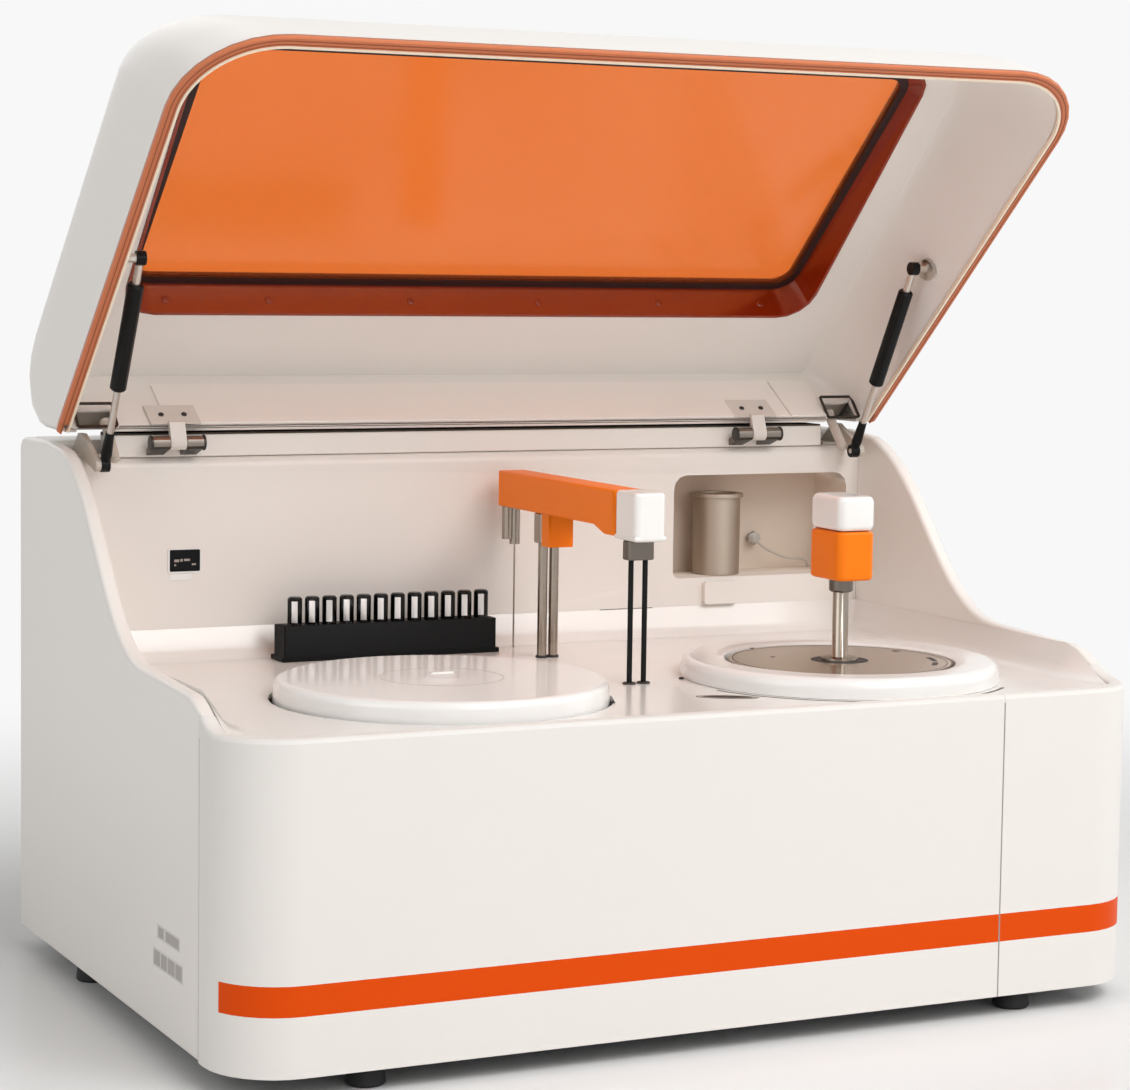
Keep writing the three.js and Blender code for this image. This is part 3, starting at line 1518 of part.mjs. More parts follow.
// Ball stud for the strut's upper end: a round plate on the liner's leaning side wall and a pin
function strutStud(side) {
  const share = (strutStudAboveAxis - lidRimZ) / (linerPlaneRear + linerSlope * strutStudFromHinge - lidRimZ);
  const wallX = lidHalf - trimWidth - linerSideInset * share;
  const rise = linerPlaneRear + linerSlope * strutStudFromHinge - lidRimZ;
  const lean = Math.atan2(linerSideInset, rise);
  const plate = rod(studPlateRadius, studClearance, studClearance + studPlateThickness);
  const geometry = geometryOf(plate);
  geometry.rotateY(-Math.PI / 2 - lean);
  geometry.translate(wallX, -strutStudFromHinge, strutStudAboveAxis);
  const tip = lidHalf - strutInset + strutEyeWidth / 2 + gap;
  const pin = rodAlongX(studRadius, tip, wallX - studClearance - studPlateThickness / 2,
    -strutStudFromHinge, strutStudAboveAxis);
  const stud = geometryOf(join(solidOf(geometry), pin));
  if (side < 0) stud.scale(-1, 1, 1);
  return solidOf(stud);
}

// Strut bracket: a foot on the back wall's upper edge and an arm that reaches forward to the pivot pin
function strutBracket(side) {
  const seatZ = wallTopZ + gap;
  const footFront = wallY + wallRound;
  const x = side * (cabinetWidth / 2 - strutInset);
  const outerFace = strutEyeWidth / 2 + gap;
  const [webLow, webHigh] = side < 0
    ? [x - outerFace - bracketThickness, x - outerFace]
    : [x + outerFace, x + outerFace + bracketThickness];
  const half = bracketWidth / 2;
  const round = Array.from({ length: 2 * cornerSteps + 1 }, (_, i) => {
    const turn = Math.PI * (bracketRoundShare + i / (2 * cornerSteps));
    return new THREE.Vector2(strutPivotY + half * Math.cos(turn), strutPivotZ + half * Math.sin(turn));
  });
  const web = [
    ...round,
    new THREE.Vector2(footFront, seatZ),
    new THREE.Vector2(footFront + bracketFootLength, seatZ),
    new THREE.Vector2(footFront + bracketFootLength, seatZ + bracketFootThickness),
    new THREE.Vector2(footFront + bracketWidth, seatZ + bracketRise),
    new THREE.Vector2(footFront, seatZ + bracketRise),
  ];
  const pinLow = Math.min(webLow, x - strutEyeWidth / 2 - gap);
  const pinHigh = Math.max(webHigh, x + strutEyeWidth / 2 + gap);
  return join(
    alongX(web, webLow, webHigh),
    box(x - bracketFootWidth / 2, x + bracketFootWidth / 2, footFront, footFront + bracketFootLength,
      seatZ, seatZ + bracketFootThickness),
    rodAlongX(strutPinRadius, pinLow, pinHigh, strutPivotY, strutPivotZ));
}

// The assembly
const analyser = new THREE.Group();

function place(mesh, x, y, z) {
  mesh.position.set(x, y, z);
  analyser.add(mesh);
}

analyser.add(piece('base_pan', basePan(), look.grey()));
analyser.add(piece('left_side_panel', sidePanel(-1), look.shellWhite()));
analyser.add(piece('right_side_panel', sidePanel(1), look.shellWhite()));
const [frontMain, frontDoor] = frontPanels();
analyser.add(piece('front_panel', frontMain, look.shellWhite()));
analyser.add(piece('front_right_panel', frontDoor, look.shellWhite()));
analyser.add(piece('top_deck', deck(), look.deckWhite()));
analyser.add(piece('back_wall', backWall(), look.warmBeige()));
analyser.add(piece('rear_top_cover', rearTopCover(), look.shellWhite()));
analyser.add(piece('rear_panel', rearPanel(), look.shellWhite()));
analyser.add(piece('power_inlet', powerInlet(), look.black()));
const rockerMesh = piece('power_switch', rocker(), look.black());
rockerMesh.rotation.x = rockerTilt;
place(rockerMesh, inletPlace().x, rockerAxisY, inletPlace().z + rockerAboveCentre);

for (const side of ['left', 'right']) {
  const sign = side === 'left' ? -1 : 1;
  const frontX = sign * (cabinetWidth / 2 - frontFootInset);
  const backX = sign * (cabinetWidth / 2 - rearFootInset);
  place(piece(`foot_front_${side}`, foot(), look.rubber()), frontX, frontY + frontFootFromFront, 0);
  place(piece(`foot_rear_${side}`, foot(), look.rubber()), backX, frontY + rearFootFromFront, 0);
}

place(piece('tray_cover', trayCover(), look.shellWhite()), trayX, trayY, 0);
place(piece('sample_rotor', sampleRotor(), look.grey()), trayX, trayY, 0);
place(piece('tray_drive', trayDrive(), look.darkMetal()), trayX, trayY, 0);

place(piece('reaction_ring', reactionRing(), look.shellWhite()), reactionX, reactionY, 0);
place(piece('reaction_disc', reactionDisc(), look.mirrorPlate()), reactionX, reactionY, 0);
place(piece('reaction_hub', reactionHub(), look.darkMetal()), reactionX, reactionY, 0);
place(piece('mixer_column', mixerColumn(), look.steel()), reactionX, reactionY, 0);
place(piece('mixer_collar', mixerCollar(), look.steel()), reactionX, reactionY, 0);
place(piece('mixer_head', mixerHead(), look.orange()), reactionX, reactionY, 0);
place(piece('mixer_cap', mixerCap(), look.shellWhite()), reactionX, reactionY, 0);

analyser.add(piece('arm_housing', armHousing(), look.orange()));
analyser.add(piece('arm_cap', armCap(), look.shellWhite()));
analyser.add(piece('probe_collar', probeCollar(), look.darkMetal()));
for (const [side, sign] of [['left', -1], ['right', 1]]) {
  place(piece(`probe_rod_${side}`, probeRod(), look.black()), armX + sign * probeSpacing / 2, probeY, 0);
}
analyser.add(piece('lift_posts', liftPosts(), look.steel()));
analyser.add(piece('needle_block', needleBlock(), look.steel()));
analyser.add(piece('arm_lift_unit', liftUnit(), look.darkMetal()));

analyser.add(piece('sample_rack', sampleRack(), look.black()));
analyser.add(piece('status_window', statusWindow(), look.black()));
place(piece('wash_cylinder', washCylinder(), look.steel()),
  nicheLeftX + washFromNicheLeft, wallY + washFromWall, 0);
analyser.add(piece('niche_hose', nicheHose(), look.grey()));
analyser.add(piece('power_supply', powerSupply(), look.steel()));
analyser.add(piece('control_board', controlBoard(), look.board()));
analyser.add(piece('photometer', photometer(), look.darkMetal()));
analyser.add(piece('syringe_pump', syringePump(), look.grey()));

const lid = new THREE.Group();
lid.position.set(0, hingeY, hingeZ);
lid.rotation.x = -lidOpenTilt;
lid.add(piece('lid_shell', lidShell(), look.shellWhite()));
lid.add(piece('lid_liner', lidLiner(), look.linerBeige()));
lid.add(piece('window_frame', windowFrame(), look.deepOrange()));
lid.add(piece('lid_window', lidWindow(), look.glass()));
lid.add(piece('rim_trim', rimTrim(), look.trimOrange()));
analyser.add(lid);

for (const [side, sign, inset] of [['left', -1, hingeInsetLeft], ['right', 1, hingeInsetRight]]) {
  const x = sign * (cabinetWidth / 2 - inset);
  const leaf = piece(`hinge_lid_leaf_${side}`, lidLeaf(), look.steel());
  leaf.position.x = x;
  lid.add(leaf);
  place(piece(`hinge_body_leaf_${side}`, bodyLeaf(), look.steel()), x, 0, 0);
  lid.add(piece(`strut_stud_${side}`, strutStud(sign), look.steel()));
  analyser.add(piece(`strut_bracket_${side}`, strutBracket(sign), look.steel()));
  const strut = new THREE.Group();
  strut.position.set(sign * (cabinetWidth / 2 - strutInset), strutPivotY, strutPivotZ);
  strut.rotation.x = strutLean;
  strut.add(piece(`strut_rod_${side}`, strutRod(), look.steel()));
  strut.add(piece(`strut_tube_${side}`, strutTube(), look.black()));
  analyser.add(strut);
}

export default analyser;
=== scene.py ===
# Benchtop chemistry analyser with its windowed lid open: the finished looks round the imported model.
# +Z up, front towards -Y. Camera, lamps and floor are in metres, the pieces' sizes in millimetres.
import json
import math

import bpy
from mathutils import Matrix, Vector

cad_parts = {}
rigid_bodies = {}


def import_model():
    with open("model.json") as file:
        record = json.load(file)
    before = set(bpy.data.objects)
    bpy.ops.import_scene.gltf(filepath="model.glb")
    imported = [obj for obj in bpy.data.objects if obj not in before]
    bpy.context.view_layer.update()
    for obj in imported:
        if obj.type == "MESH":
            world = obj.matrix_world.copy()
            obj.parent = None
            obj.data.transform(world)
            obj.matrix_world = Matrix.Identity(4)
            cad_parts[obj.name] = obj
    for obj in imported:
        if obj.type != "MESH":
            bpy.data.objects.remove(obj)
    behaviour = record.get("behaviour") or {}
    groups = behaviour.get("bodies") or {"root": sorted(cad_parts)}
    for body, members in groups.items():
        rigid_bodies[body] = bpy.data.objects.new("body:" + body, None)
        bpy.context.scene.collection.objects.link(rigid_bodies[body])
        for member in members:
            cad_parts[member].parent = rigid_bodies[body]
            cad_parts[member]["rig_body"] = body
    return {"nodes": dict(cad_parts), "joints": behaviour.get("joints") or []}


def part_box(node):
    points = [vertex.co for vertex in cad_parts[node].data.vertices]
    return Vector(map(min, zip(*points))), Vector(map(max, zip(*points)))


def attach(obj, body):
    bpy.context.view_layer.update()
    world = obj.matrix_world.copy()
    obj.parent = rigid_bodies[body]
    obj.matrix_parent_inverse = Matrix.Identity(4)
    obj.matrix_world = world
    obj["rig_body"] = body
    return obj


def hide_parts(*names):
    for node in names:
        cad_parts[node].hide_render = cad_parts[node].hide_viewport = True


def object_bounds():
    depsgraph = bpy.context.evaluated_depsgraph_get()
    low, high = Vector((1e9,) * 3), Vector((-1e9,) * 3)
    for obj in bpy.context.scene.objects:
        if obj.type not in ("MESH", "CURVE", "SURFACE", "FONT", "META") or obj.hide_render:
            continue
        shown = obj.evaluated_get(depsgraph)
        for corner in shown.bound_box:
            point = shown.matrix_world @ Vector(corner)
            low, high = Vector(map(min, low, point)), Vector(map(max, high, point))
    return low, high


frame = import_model()
cadBounds = [list(corner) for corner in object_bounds()]
nodes = frame["nodes"]
joints = {joint["name"]: joint for joint in frame["joints"]}
scene = bpy.context.scene
mm = 0.001
print("frame loaded:", len(nodes), "nodes")


# Camera, floor and light
view = {"place": (-1.161314, -2.350973, 0.650913), "turn": (85.32778, -0.82250, -26.07387),
        "lens": 92.365, "sensor": 36, "shift": -0.042417, "farClip": 60}
room = {"paper": "#ECEBEA", "backdrop": "#F8F8F8", "skyLight": 0.26, "floorSize": 30,
        "nearReach": 0.02, "farReach": 1.5, "gloss": 0.06, "glossBlur": 0.14}
footprint = (*cadBounds[1][:2], 0.0)
lamps = [
    # name, place, aim, size, watts
    ("front", (0.2, -3.6, 1.7), (0.0, 0.0, 0.4), 1.8, 15),
    ("high", (0.6, -2.4, 2.7), (0.0, -0.1, 0.3), 2.0, 45),
    ("steep", (1.5, -1.9, 3.2), (0.1, -0.2, 0.3), 2.2, 38),
    ("left", (-3.2, -1.0, 1.6), (0.0, 0.0, 0.3), 2.2, 24),
    ("right", (3.0, -0.6, 1.6), (0.1, 0.0, 0.4), 1.8, 15),
    ("rear", (-0.5, 3.2, 2.2), (0.0, 0.2, 0.4), 2.2, 16),
]


def linear(hexColour):
    # sRGB hex to the linear values that Blender's sockets take
    parts = [int(hexColour[i:i + 2], 16) / 255 for i in (1, 3, 5)]
    return tuple(c / 12.92 if c <= 0.04045 else ((c + 0.055) / 1.055) ** 2.4
                 for c in parts) + (1.0,)


def addNode(tree, kind, settings=None, inputs=None):
    # one shader node with its settings, values and links
    node = tree.nodes.new("ShaderNode" + kind)
    for key, value in (settings or {}).items():
        setattr(node, key, value)
    for key, value in (inputs or {}).items():
        if isinstance(value, bpy.types.NodeSocket):
            tree.links.new(value, node.inputs[key])
        else:
            node.inputs[key].default_value = value
    return node


def seenBackdrop(tree):
    # 1 where the backdrop is looked at, in a mirror or through glass too, and 0 where it lights
    rays = addNode(tree, "LightPath").outputs
    seen = rays["Is Camera Ray"]
    for name in ("Is Glossy Ray", "Is Transmission Ray"):
        seen = addNode(tree, "Math", {"operation": "MAXIMUM"}, {0: seen, 1: rays[name]}).outputs[0]
    return seen


def selectOnly(piece):
    bpy.ops.object.select_all(action="DESELECT")
    piece.select_set(True)
    bpy.context.view_layer.objects.active = piece


cameraData = bpy.data.cameras.new("camera")
cameraData.lens = view["lens"]
cameraData.sensor_width = view["sensor"]
cameraData.shift_y = view["shift"]
cameraData.clip_end = view["farClip"]
camera = bpy.data.objects.new("camera", cameraData)
camera.location = view["place"]
camera.rotation_euler = [math.radians(a) for a in view["turn"]]
scene.collection.objects.link(camera)
scene.camera = camera
scene.view_settings.view_transform = "Standard"

for name, place, aim, size, watts in lamps:
    lampData = bpy.data.lights.new("lamp_" + name, "AREA")
    lampData.shape = "RECTANGLE"
    lampData.size = size
    lampData.size_y = size
    lampData.energy = watts
    lamp = bpy.data.objects.new("lamp_" + name, lampData)
    lamp.location = place
    lamp.rotation_euler = (Vector(aim) - Vector(place)).to_track_quat("-Z", "Y").to_euler()
    scene.collection.objects.link(lamp)

sky = bpy.data.worlds.new("studio")
sky.use_nodes = True
tree = sky.node_tree
tree.nodes.clear()
ambient = addNode(tree, "Background", None, {
    "Color": linear("#FFFFFF"), "Strength": room["skyLight"]})
backdrop = addNode(tree, "Background", None, {"Color": linear(room["backdrop"]), "Strength": 1.0})
choice = addNode(tree, "MixShader", None, {
    0: seenBackdrop(tree), 1: ambient.outputs[0], 2: backdrop.outputs[0]})
addNode(tree, "OutputWorld", None, {"Surface": choice.outputs[0]})
scene.world = sky

bpy.ops.object.select_all(action="DESELECT")
bpy.ops.mesh.primitive_plane_add(size=room["floorSize"], location=(0, 0, 0))
floor = bpy.context.active_object
floor.name = "studio_floor"
paper = bpy.data.materials.new("matt_paper_sweep")
paper.use_nodes = True
tree = paper.node_tree
tree.nodes.clear()
# how far a floor point lies outside the cabinet's footprint
away = addNode(tree, "TexCoord").outputs["Object"]
away = addNode(tree, "VectorMath", {"operation": "ABSOLUTE"}, {0: away}).outputs[0]
away = addNode(tree, "VectorMath", {"operation": "SUBTRACT"}, {
    0: away, 1: footprint}).outputs[0]
away = addNode(tree, "VectorMath", {"operation": "MAXIMUM"}, {0: away, 1: (0, 0, 0)}).outputs[0]
away = addNode(tree, "VectorMath", {"operation": "LENGTH"}, {0: away}).outputs["Value"]
# with that distance the paper fades into the backdrop where it is looked at
share = addNode(tree, "MapRange", {"interpolation_type": "SMOOTHSTEP"}, {
    "Value": away, "From Min": room["nearReach"], "From Max": room["farReach"]})
share = addNode(tree, "Math", {"operation": "MULTIPLY"}, {
    0: seenBackdrop(tree), 1: share.outputs[0]})
matt = addNode(tree, "BsdfDiffuse", None, {"Color": linear(room["paper"])})
sheen = addNode(tree, "BsdfGlossy", None, {
    "Color": linear("#FFFFFF"), "Roughness": room["glossBlur"]})
card = addNode(tree, "MixShader", None, {
    0: room["gloss"], 1: matt.outputs[0], 2: sheen.outputs[0]})
glow = addNode(tree, "Emission", None, {"Color": linear(room["backdrop"]), "Strength": 1.0})
mix = addNode(tree, "MixShader", None, {
    0: share.outputs[0], 1: card.outputs[0], 2: glow.outputs[0]})
addNode(tree, "OutputMaterial", None, {"Surface": mix.outputs[0]})
floor.data.materials.append(paper)
print("camera, lamps and floor set")


# Finishes; sizes of tone and grain in millimetres
grainRise = 0.15  # how high the finest grain may stand


def finish(name, slot, colour, roughness, tone=0.03, toneSize=180, grainSize=1.2, grainDepth=0.08,
           stretch=(1, 1, 1), roughSpread=0.05, metal=False, ior=None, coat=None,
           coatRoughness=0.1, clear=None):
    # a moulded, painted or turned surface: a slow change of tone, a fine bump and a change of gloss
    material = bpy.data.materials.new(name)
    material.use_nodes = True
    tree = material.node_tree
    tree.nodes.clear()
    spot = addNode(tree, "TexCoord").outputs["Object"]
    cloud = addNode(tree, "TexNoise", None, {
        "Vector": spot, "Scale": 1 / (toneSize * mm), "Detail": 3.0, "Roughness": 0.55})
    light = linear(colour)
    clouded = addNode(tree, "Mix", {"data_type": "RGBA"}, {
        0: cloud.outputs["Fac"],
        6: tuple(c * (1 - tone) for c in light[:3]) + (1.0,),
        7: tuple(min(1.0, c * (1 + tone * 0.5)) for c in light[:3]) + (1.0,)}).outputs[2]
    grainSpot = addNode(tree, "Mapping", None, {"Vector": spot, "Scale": stretch}).outputs[0]
    grain = addNode(tree, "TexNoise", None, {
        "Vector": grainSpot, "Scale": 1 / (grainSize * mm), "Detail": 2.0, "Roughness": 0.6})
    bump = addNode(tree, "Bump", None, {
        "Strength": grainDepth, "Distance": grainRise * mm, "Height": grain.outputs["Fac"]})
    rough = addNode(tree, "MapRange", None, {
        "Value": grain.outputs["Fac"] if metal else cloud.outputs["Fac"],
        "To Min": roughness - roughSpread, "To Max": roughness + roughSpread})
    shader = addNode(tree, "BsdfPrincipled", None, {
        "Base Color": clouded, "Roughness": rough.outputs[0], "Normal": bump.outputs[0],
        "Metallic": 1.0 if metal else 0.0})
    if ior:
        shader.inputs["IOR"].default_value = ior
    if coat:
        shader.inputs["Coat Weight"].default_value = coat
        shader.inputs["Coat Roughness"].default_value = coatRoughness
    if clear:
        shader.inputs["Transmission Weight"].default_value = clear
    addNode(tree, "OutputMaterial", None, {"Surface": shader.outputs[0]})
    material["slot"] = slot
    return material


def paintInside(material, low, high, colour):
    # paints what lies between two corners, in millimetres, where None leaves a side open
    tree = material.node_tree
    shader = next(node for node in tree.nodes if node.type == "BSDF_PRINCIPLED")
    ground = shader.inputs["Base Color"].links[0].from_socket
    place = addNode(tree, "SeparateXYZ", None, {0: addNode(tree, "TexCoord").outputs["Object"]})
    inside = None
    for axis, above, below in zip("XYZ", low, high):
        for operation, limit in (("GREATER_THAN", above), ("LESS_THAN", below)):
            if limit is None:
                continue
            test = addNode(tree, "Math", {"operation": operation}, {
                0: place.outputs[axis], 1: limit * mm})
            if inside:
                test = addNode(tree, "Math", {"operation": "MULTIPLY"}, {
                    0: inside, 1: test.outputs[0]})
            inside = test.outputs[0]
    painted = addNode(tree, "Mix", {"data_type": "RGBA"}, {
        0: inside, 6: ground, 7: linear(colour)})
    tree.links.new(painted.outputs[2], shader.inputs["Base Color"])


# ABS, injection moulded with a fine spark texture: soft sheen, even warm white
shellWhite = finish(
    "abs_moulded_white", "shell", "#F1ECE6", 0.36, tone=0.015, toneSize=260, grainSize=0.9,
    grainDepth=0.06)
# the same ABS on the front skin, with its painted orange band
shellBand = finish(
    "abs_moulded_white_banded", "shell", "#ECE8E3", 0.42, tone=0.015, toneSize=260, grainSize=0.9,
    grainDepth=0.06, ior=1.2)
# the band, then painted shade along the seams between the skin's two halves and beside the side
# panels
paintInside(shellBand, (None, None, 66.6), (None, -255.9, 91), "#E24C00")
paintInside(shellBand, (272.8, None, None), (274.2, -250, 276), "#A8A19B")
paintInside(shellBand, (None, -221.7, None), (None, -220, 276), "#B8B1AB")
# the same ABS, polished mould: glossier lids and rings
glossWhite = finish(
    "abs_polished_white", "shell", "#F6F4F1", 0.2, tone=0.012, toneSize=200, grainSize=1.6,
    grainDepth=0.03, coat=0.35, coatRoughness=0.08)
# deck: glossy moulded ABS, wiped clean, slightly creamy
deckWhite = finish(
    "abs_deck_cream", "deck", "#EEEAE5", 0.22, tone=0.02, toneSize=220, grainSize=1.4,
    grainDepth=0.03, coat=0.25, coatRoughness=0.12)
# back wall: moulded beige ABS with an even satin face
wallBeige = finish(
    "abs_satin_beige", "wall", "#F1EAE3", 0.38, tone=0.02, toneSize=240, grainSize=1.0,
    grainDepth=0.06)
# the niche's inner faces: the same ABS, left unpolished by the mould's core, so duller; darker as
# painted shade
nicheShadeBeige = finish(
    "abs_beige_painted_niche_shade", "wall", "#E2D2C3", 0.5, tone=0.03, toneSize=120, grainSize=1.0,
    grainDepth=0.08)
# lid liner: vacuum formed ABS, slightly grainy and duller
linerBeige = finish(
    "abs_formed_liner", "liner", "#F3EEE8", 0.46, tone=0.03, toneSize=160, grainSize=1.1,
    grainDepth=0.1)
# the liner's rails: the same sheet, pressed smooth, and paler as a painted highlight
linerRailHighlight = finish(
    "abs_liner_smooth_painted_highlight", "liner", "#F8F2EB", 0.3, tone=0.02, toneSize=160, grainSize=1.1,
    grainDepth=0.03)
# orange ABS of the arm and the mixing head
orangeShell = finish(
    "abs_moulded_orange", "orange", "#FF800A", 0.42, tone=0.02, toneSize=60, grainSize=0.8,
    grainDepth=0.05, ior=1.3)
# painted rim trim: matt terracotta, thin lacquer
trimOrange = finish(
    "painted_trim_terracotta", "trim", "#D2774A", 0.42, tone=0.04, toneSize=90, grainSize=0.8,
    grainDepth=0.06)
# the piping inside the trim: ABS, extruded smooth, creamy
pipingCream = finish(
    "abs_piping_cream", "shell", "#FFEFD8", 0.35, tone=0.02, toneSize=90)
# window frame: orange acrylic, moulded and glossy, darkened to a deep red-brown as painted shade
frameOrangeShaded = finish(
    "acrylic_orange_painted_shade", "frame_orange", "#8F2802", 0.16, tone=0.06, toneSize=70,
    grainSize=1.6, grainDepth=0.02, coat=0.4, coatRoughness=0.06)
# gasket: extruded rubber in the window's groove, near black as the groove's painted shade
gasketAndGrooveShade = finish(
    "rubber_gasket_painted_shade_dark", "rubber", "#2A0A05", 0.55, tone=0.08, toneSize=30, grainSize=0.5,
    grainDepth=0.2)
# painted shade in the gaps at the sill and the lid's rear edge: matt brown strips
gapShadeBrown = finish(
    "painted_gap_shade_brown", "rubber", "#4B4138", 0.6, tone=0.08, toneSize=60, grainSize=0.6,
    grainDepth=0.15)
# stainless steel, ground and polished round the bar
steelRod = finish(
    "stainless_steel_ground", "chrome", "#A1968A", 0.24, metal=True, tone=0.05, toneSize=30,
    grainSize=0.5, stretch=(1, 1, 0.1), grainDepth=0.03)
# nickel-plated steel of strut rods, studs and rear screws
platedSteel = finish(
    "nickel_plated_steel", "steel", "#CFC8BF", 0.3, metal=True, tone=0.08, toneSize=20,
    grainSize=0.7, grainDepth=0.08)
# collars of the probes and the mixing head: steel, turned and burnished, between bright and black
collarSteel = finish(
    "steel_turned_burnished", "black_metal", "#766F67", 0.34, metal=True, tone=0.08, toneSize=20,
    grainSize=0.6, grainDepth=0.06)
# the hinges' cabinet side: zinc-plated steel, dulled by handling
hingeSteel = finish(
    "steel_zinc_plated_dull", "steel", "#8B8279", 0.4, metal=True, tone=0.1, toneSize=15,
    grainSize=0.7, grainDepth=0.1)
# the hinges' lid side: zinc, cast and lacquered to a pale satin
satinZinc = finish(
    "zinc_cast_lacquered", "steel", "#E2DBD3", 0.36, tone=0.06, toneSize=15, grainSize=0.7,
    grainDepth=0.08)
# wash cylinder: brushed aluminium, lines running round it
brushedAluminium = finish(
    "aluminium_brushed", "aluminium", "#B8AB9D", 0.5, metal=True, tone=0.04, toneSize=40,
    grainSize=0.6, stretch=(0.12, 0.12, 1), grainDepth=0.15, roughSpread=0.08)
# reaction plate: aluminium, fine turned, so it mirrors what stands round it
darkPlate = finish(
    "aluminium_dark_turned", "aluminium", "#D0C5B9", 0.24, metal=True, tone=0.08, toneSize=60,
    grainSize=1.0, grainDepth=0.06, roughSpread=0.06)
# fittings that stay dark: steel, chemically blackened; on the hinge leaves also painted shade
blackenedSteelAndShade = finish(
    "steel_blackened_and_painted_shade", "black_metal", "#4A4744", 0.38, metal=True, tone=0.08, toneSize=30,
    grainSize=0.6, grainDepth=0.1)
# strut tubes and probes: black powder coat on steel
blackCoat = finish(
    "powder_coat_black", "black_metal", "#0B0C0C", 0.4, tone=0.1, toneSize=30, grainSize=0.5,
    grainDepth=0.15, ior=1.28)
# rack, inlet and switch: black moulded nylon, matt
blackNylon = finish(
    "nylon_moulded_black", "black", "#070707", 0.5, tone=0.1, toneSize=40, grainSize=0.7,
    grainDepth=0.08, ior=1.25)
# status window: smoked glass, flat and even
blackGlass = finish(
    "glass_smoked_black", "black", "#060607", 0.3, tone=0.05, toneSize=20, grainSize=2.0,
    grainDepth=0.01, ior=1.25)
# feet: moulded rubber, quite matt
rubber = finish(
    "rubber_moulded_black", "rubber", "#191919", 0.75, tone=0.1, toneSize=20, grainSize=0.8,
    grainDepth=0.3)
# pan and power supply: galvanised sheet steel, with its cloudy spangle
greyZinc = finish(
    "steel_galvanised", "pan", "#8E9192", 0.5, metal=True, tone=0.12, toneSize=25, grainSize=3.0,
    grainDepth=0.06)
# rotor and pump: grey moulded ABS
greyPlastic = finish(
    "abs_moulded_grey", "grey", "#8B8C8B", 0.5, tone=0.05, toneSize=60, grainSize=0.9,
    grainDepth=0.1)
# control board: lacquered glass-fibre epoxy
boardGreen = finish(
    "epoxy_glass_board_green", "board", "#1F5E3C", 0.4, tone=0.12, toneSize=12, grainSize=0.6,
    grainDepth=0.1)
# thin hose: silicone, milky and half clear
hoseClear = finish(
    "silicone_hose_clear", "grey", "#D9D2C8", 0.25, tone=0.03, toneSize=20, clear=0.3)
# sample tubes: smoked polystyrene, glossy
tubeGlass = finish(
    "polystyrene_tube_smoked", "black", "#050505", 0.2, tone=0.08, toneSize=15, grainSize=1.5,
    grainDepth=0.02, ior=1.3)
# painted highlight: a pale strip down each tube, on the faces turned towards the front
tubeHighlight = finish(
    "painted_highlight_tube_strip", "grey", "#F2F0EE", 0.12, tone=0.05, toneSize=12, grainSize=1.5,
    grainDepth=0.02)

# coated paper: matt and pale, with plain grey fields
plainPaper = finish(
    "paper_coated_pale", "shell", "#DEDAD6", 0.6, tone=0.02, toneSize=20, grainSize=0.6)
printedGrey = finish(
    "ink_matt_grey", "grey", "#B4AEA9", 0.65, tone=0.06, toneSize=6, grainSize=0.6)
# painted shade: dark matt plastic standing for the shade in lines, slots and recesses; also small
# dark fittings
shadowLine = finish(
    "painted_shade_dark_matt", "black", "#2B2623", 0.6, tone=0.1, toneSize=20)
# painted half shade in shallower recesses, and the grey print of the status bars
softLine = finish(
    "painted_half_shade_and_print_grey", "grey", "#A79C92", 0.55, tone=0.05, toneSize=20)
# the deck's groove: painted shade, a dark grey-brown
grooveShade = finish(
    "painted_groove_shade_grey_brown", "grey", "#4E453E", 0.55, tone=0.05, toneSize=40)
# painted shade: the trim's grooves, as strips of its own colour darkened
grooveShadeBrown = finish(
    "painted_shade_trim_groove_brown", "trim", "#96502F", 0.5, tone=0.06, toneSize=30)
# strut brackets, arms and pocket roofs: cast zinc, painted warm grey
armGrey = finish(
    "zinc_cast_painted_grey", "steel", "#C9BFB3", 0.35, tone=0.05, toneSize=20, grainSize=0.8,
    grainDepth=0.1)

# window pane: orange acrylic sheet, cast, clear enough to glow against the light
pane = bpy.data.materials.new("acrylic_cast_orange")
pane.use_nodes = True
tree = pane.node_tree
tree.nodes.clear()
spot = addNode(tree, "TexCoord").outputs["Object"]
cloud = addNode(tree, "TexNoise", None, {"Vector": spot, "Scale": 1 / 0.3, "Detail": 2.0})
paneColour = addNode(tree, "Mix", {"data_type": "RGBA"}, {
    0: cloud.outputs["Fac"], 6: linear("#FA8034"), 7: linear("#FF8A3E")}).outputs[2]
shader = addNode(tree, "BsdfPrincipled", None, {
    "Base Color": paneColour, "Roughness": 0.16, "IOR": 1.49, "Transmission Weight": 0.86,
    "Coat Weight": 0.0})
addNode(tree, "OutputMaterial", None, {"Surface": shader.outputs[0]})
pane["slot"] = "window"
print("finishes made:", len(bpy.data.materials))


# Making and finishing pieces
lidOpen = 42  # how far the rim has turned up from level, about the hinge axis
lidPlace = (Matrix.Translation(joints["lid_hinge"]["pos_m"])
            @ Matrix.Rotation(math.radians(-lidOpen), 4, "X"))


def settle(piece, material, body, *replaced):
    # the piece gets its finish, stands at the origin and rides on its body
    selectOnly(piece)
    bpy.ops.object.transform_apply(location=True, rotation=True, scale=True)
    piece.data.materials.clear()
    piece.data.materials.append(material)
    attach(piece, body)
    if replaced:
        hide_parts(*replaced)
    return piece


def addFinish(piece, material, test):
    # a second finish on the faces whose middle passes the test, in millimetres
    piece.data.materials.append(material)
    slot = len(piece.data.materials) - 1
    for face in piece.data.polygons:
        if test(face.center / mm, face.normal):
            face.material_index = slot


def crease(piece, angle=32):
    # soft shading except over edges sharper than the angle, with flat faces kept flat
    selectOnly(piece)
    bpy.ops.object.shade_smooth_by_angle(angle=math.radians(angle))
    piece.modifiers.new("even_faces", "WEIGHTED_NORMAL").keep_sharp = True
    bpy.ops.object.modifier_apply(modifier="even_faces")


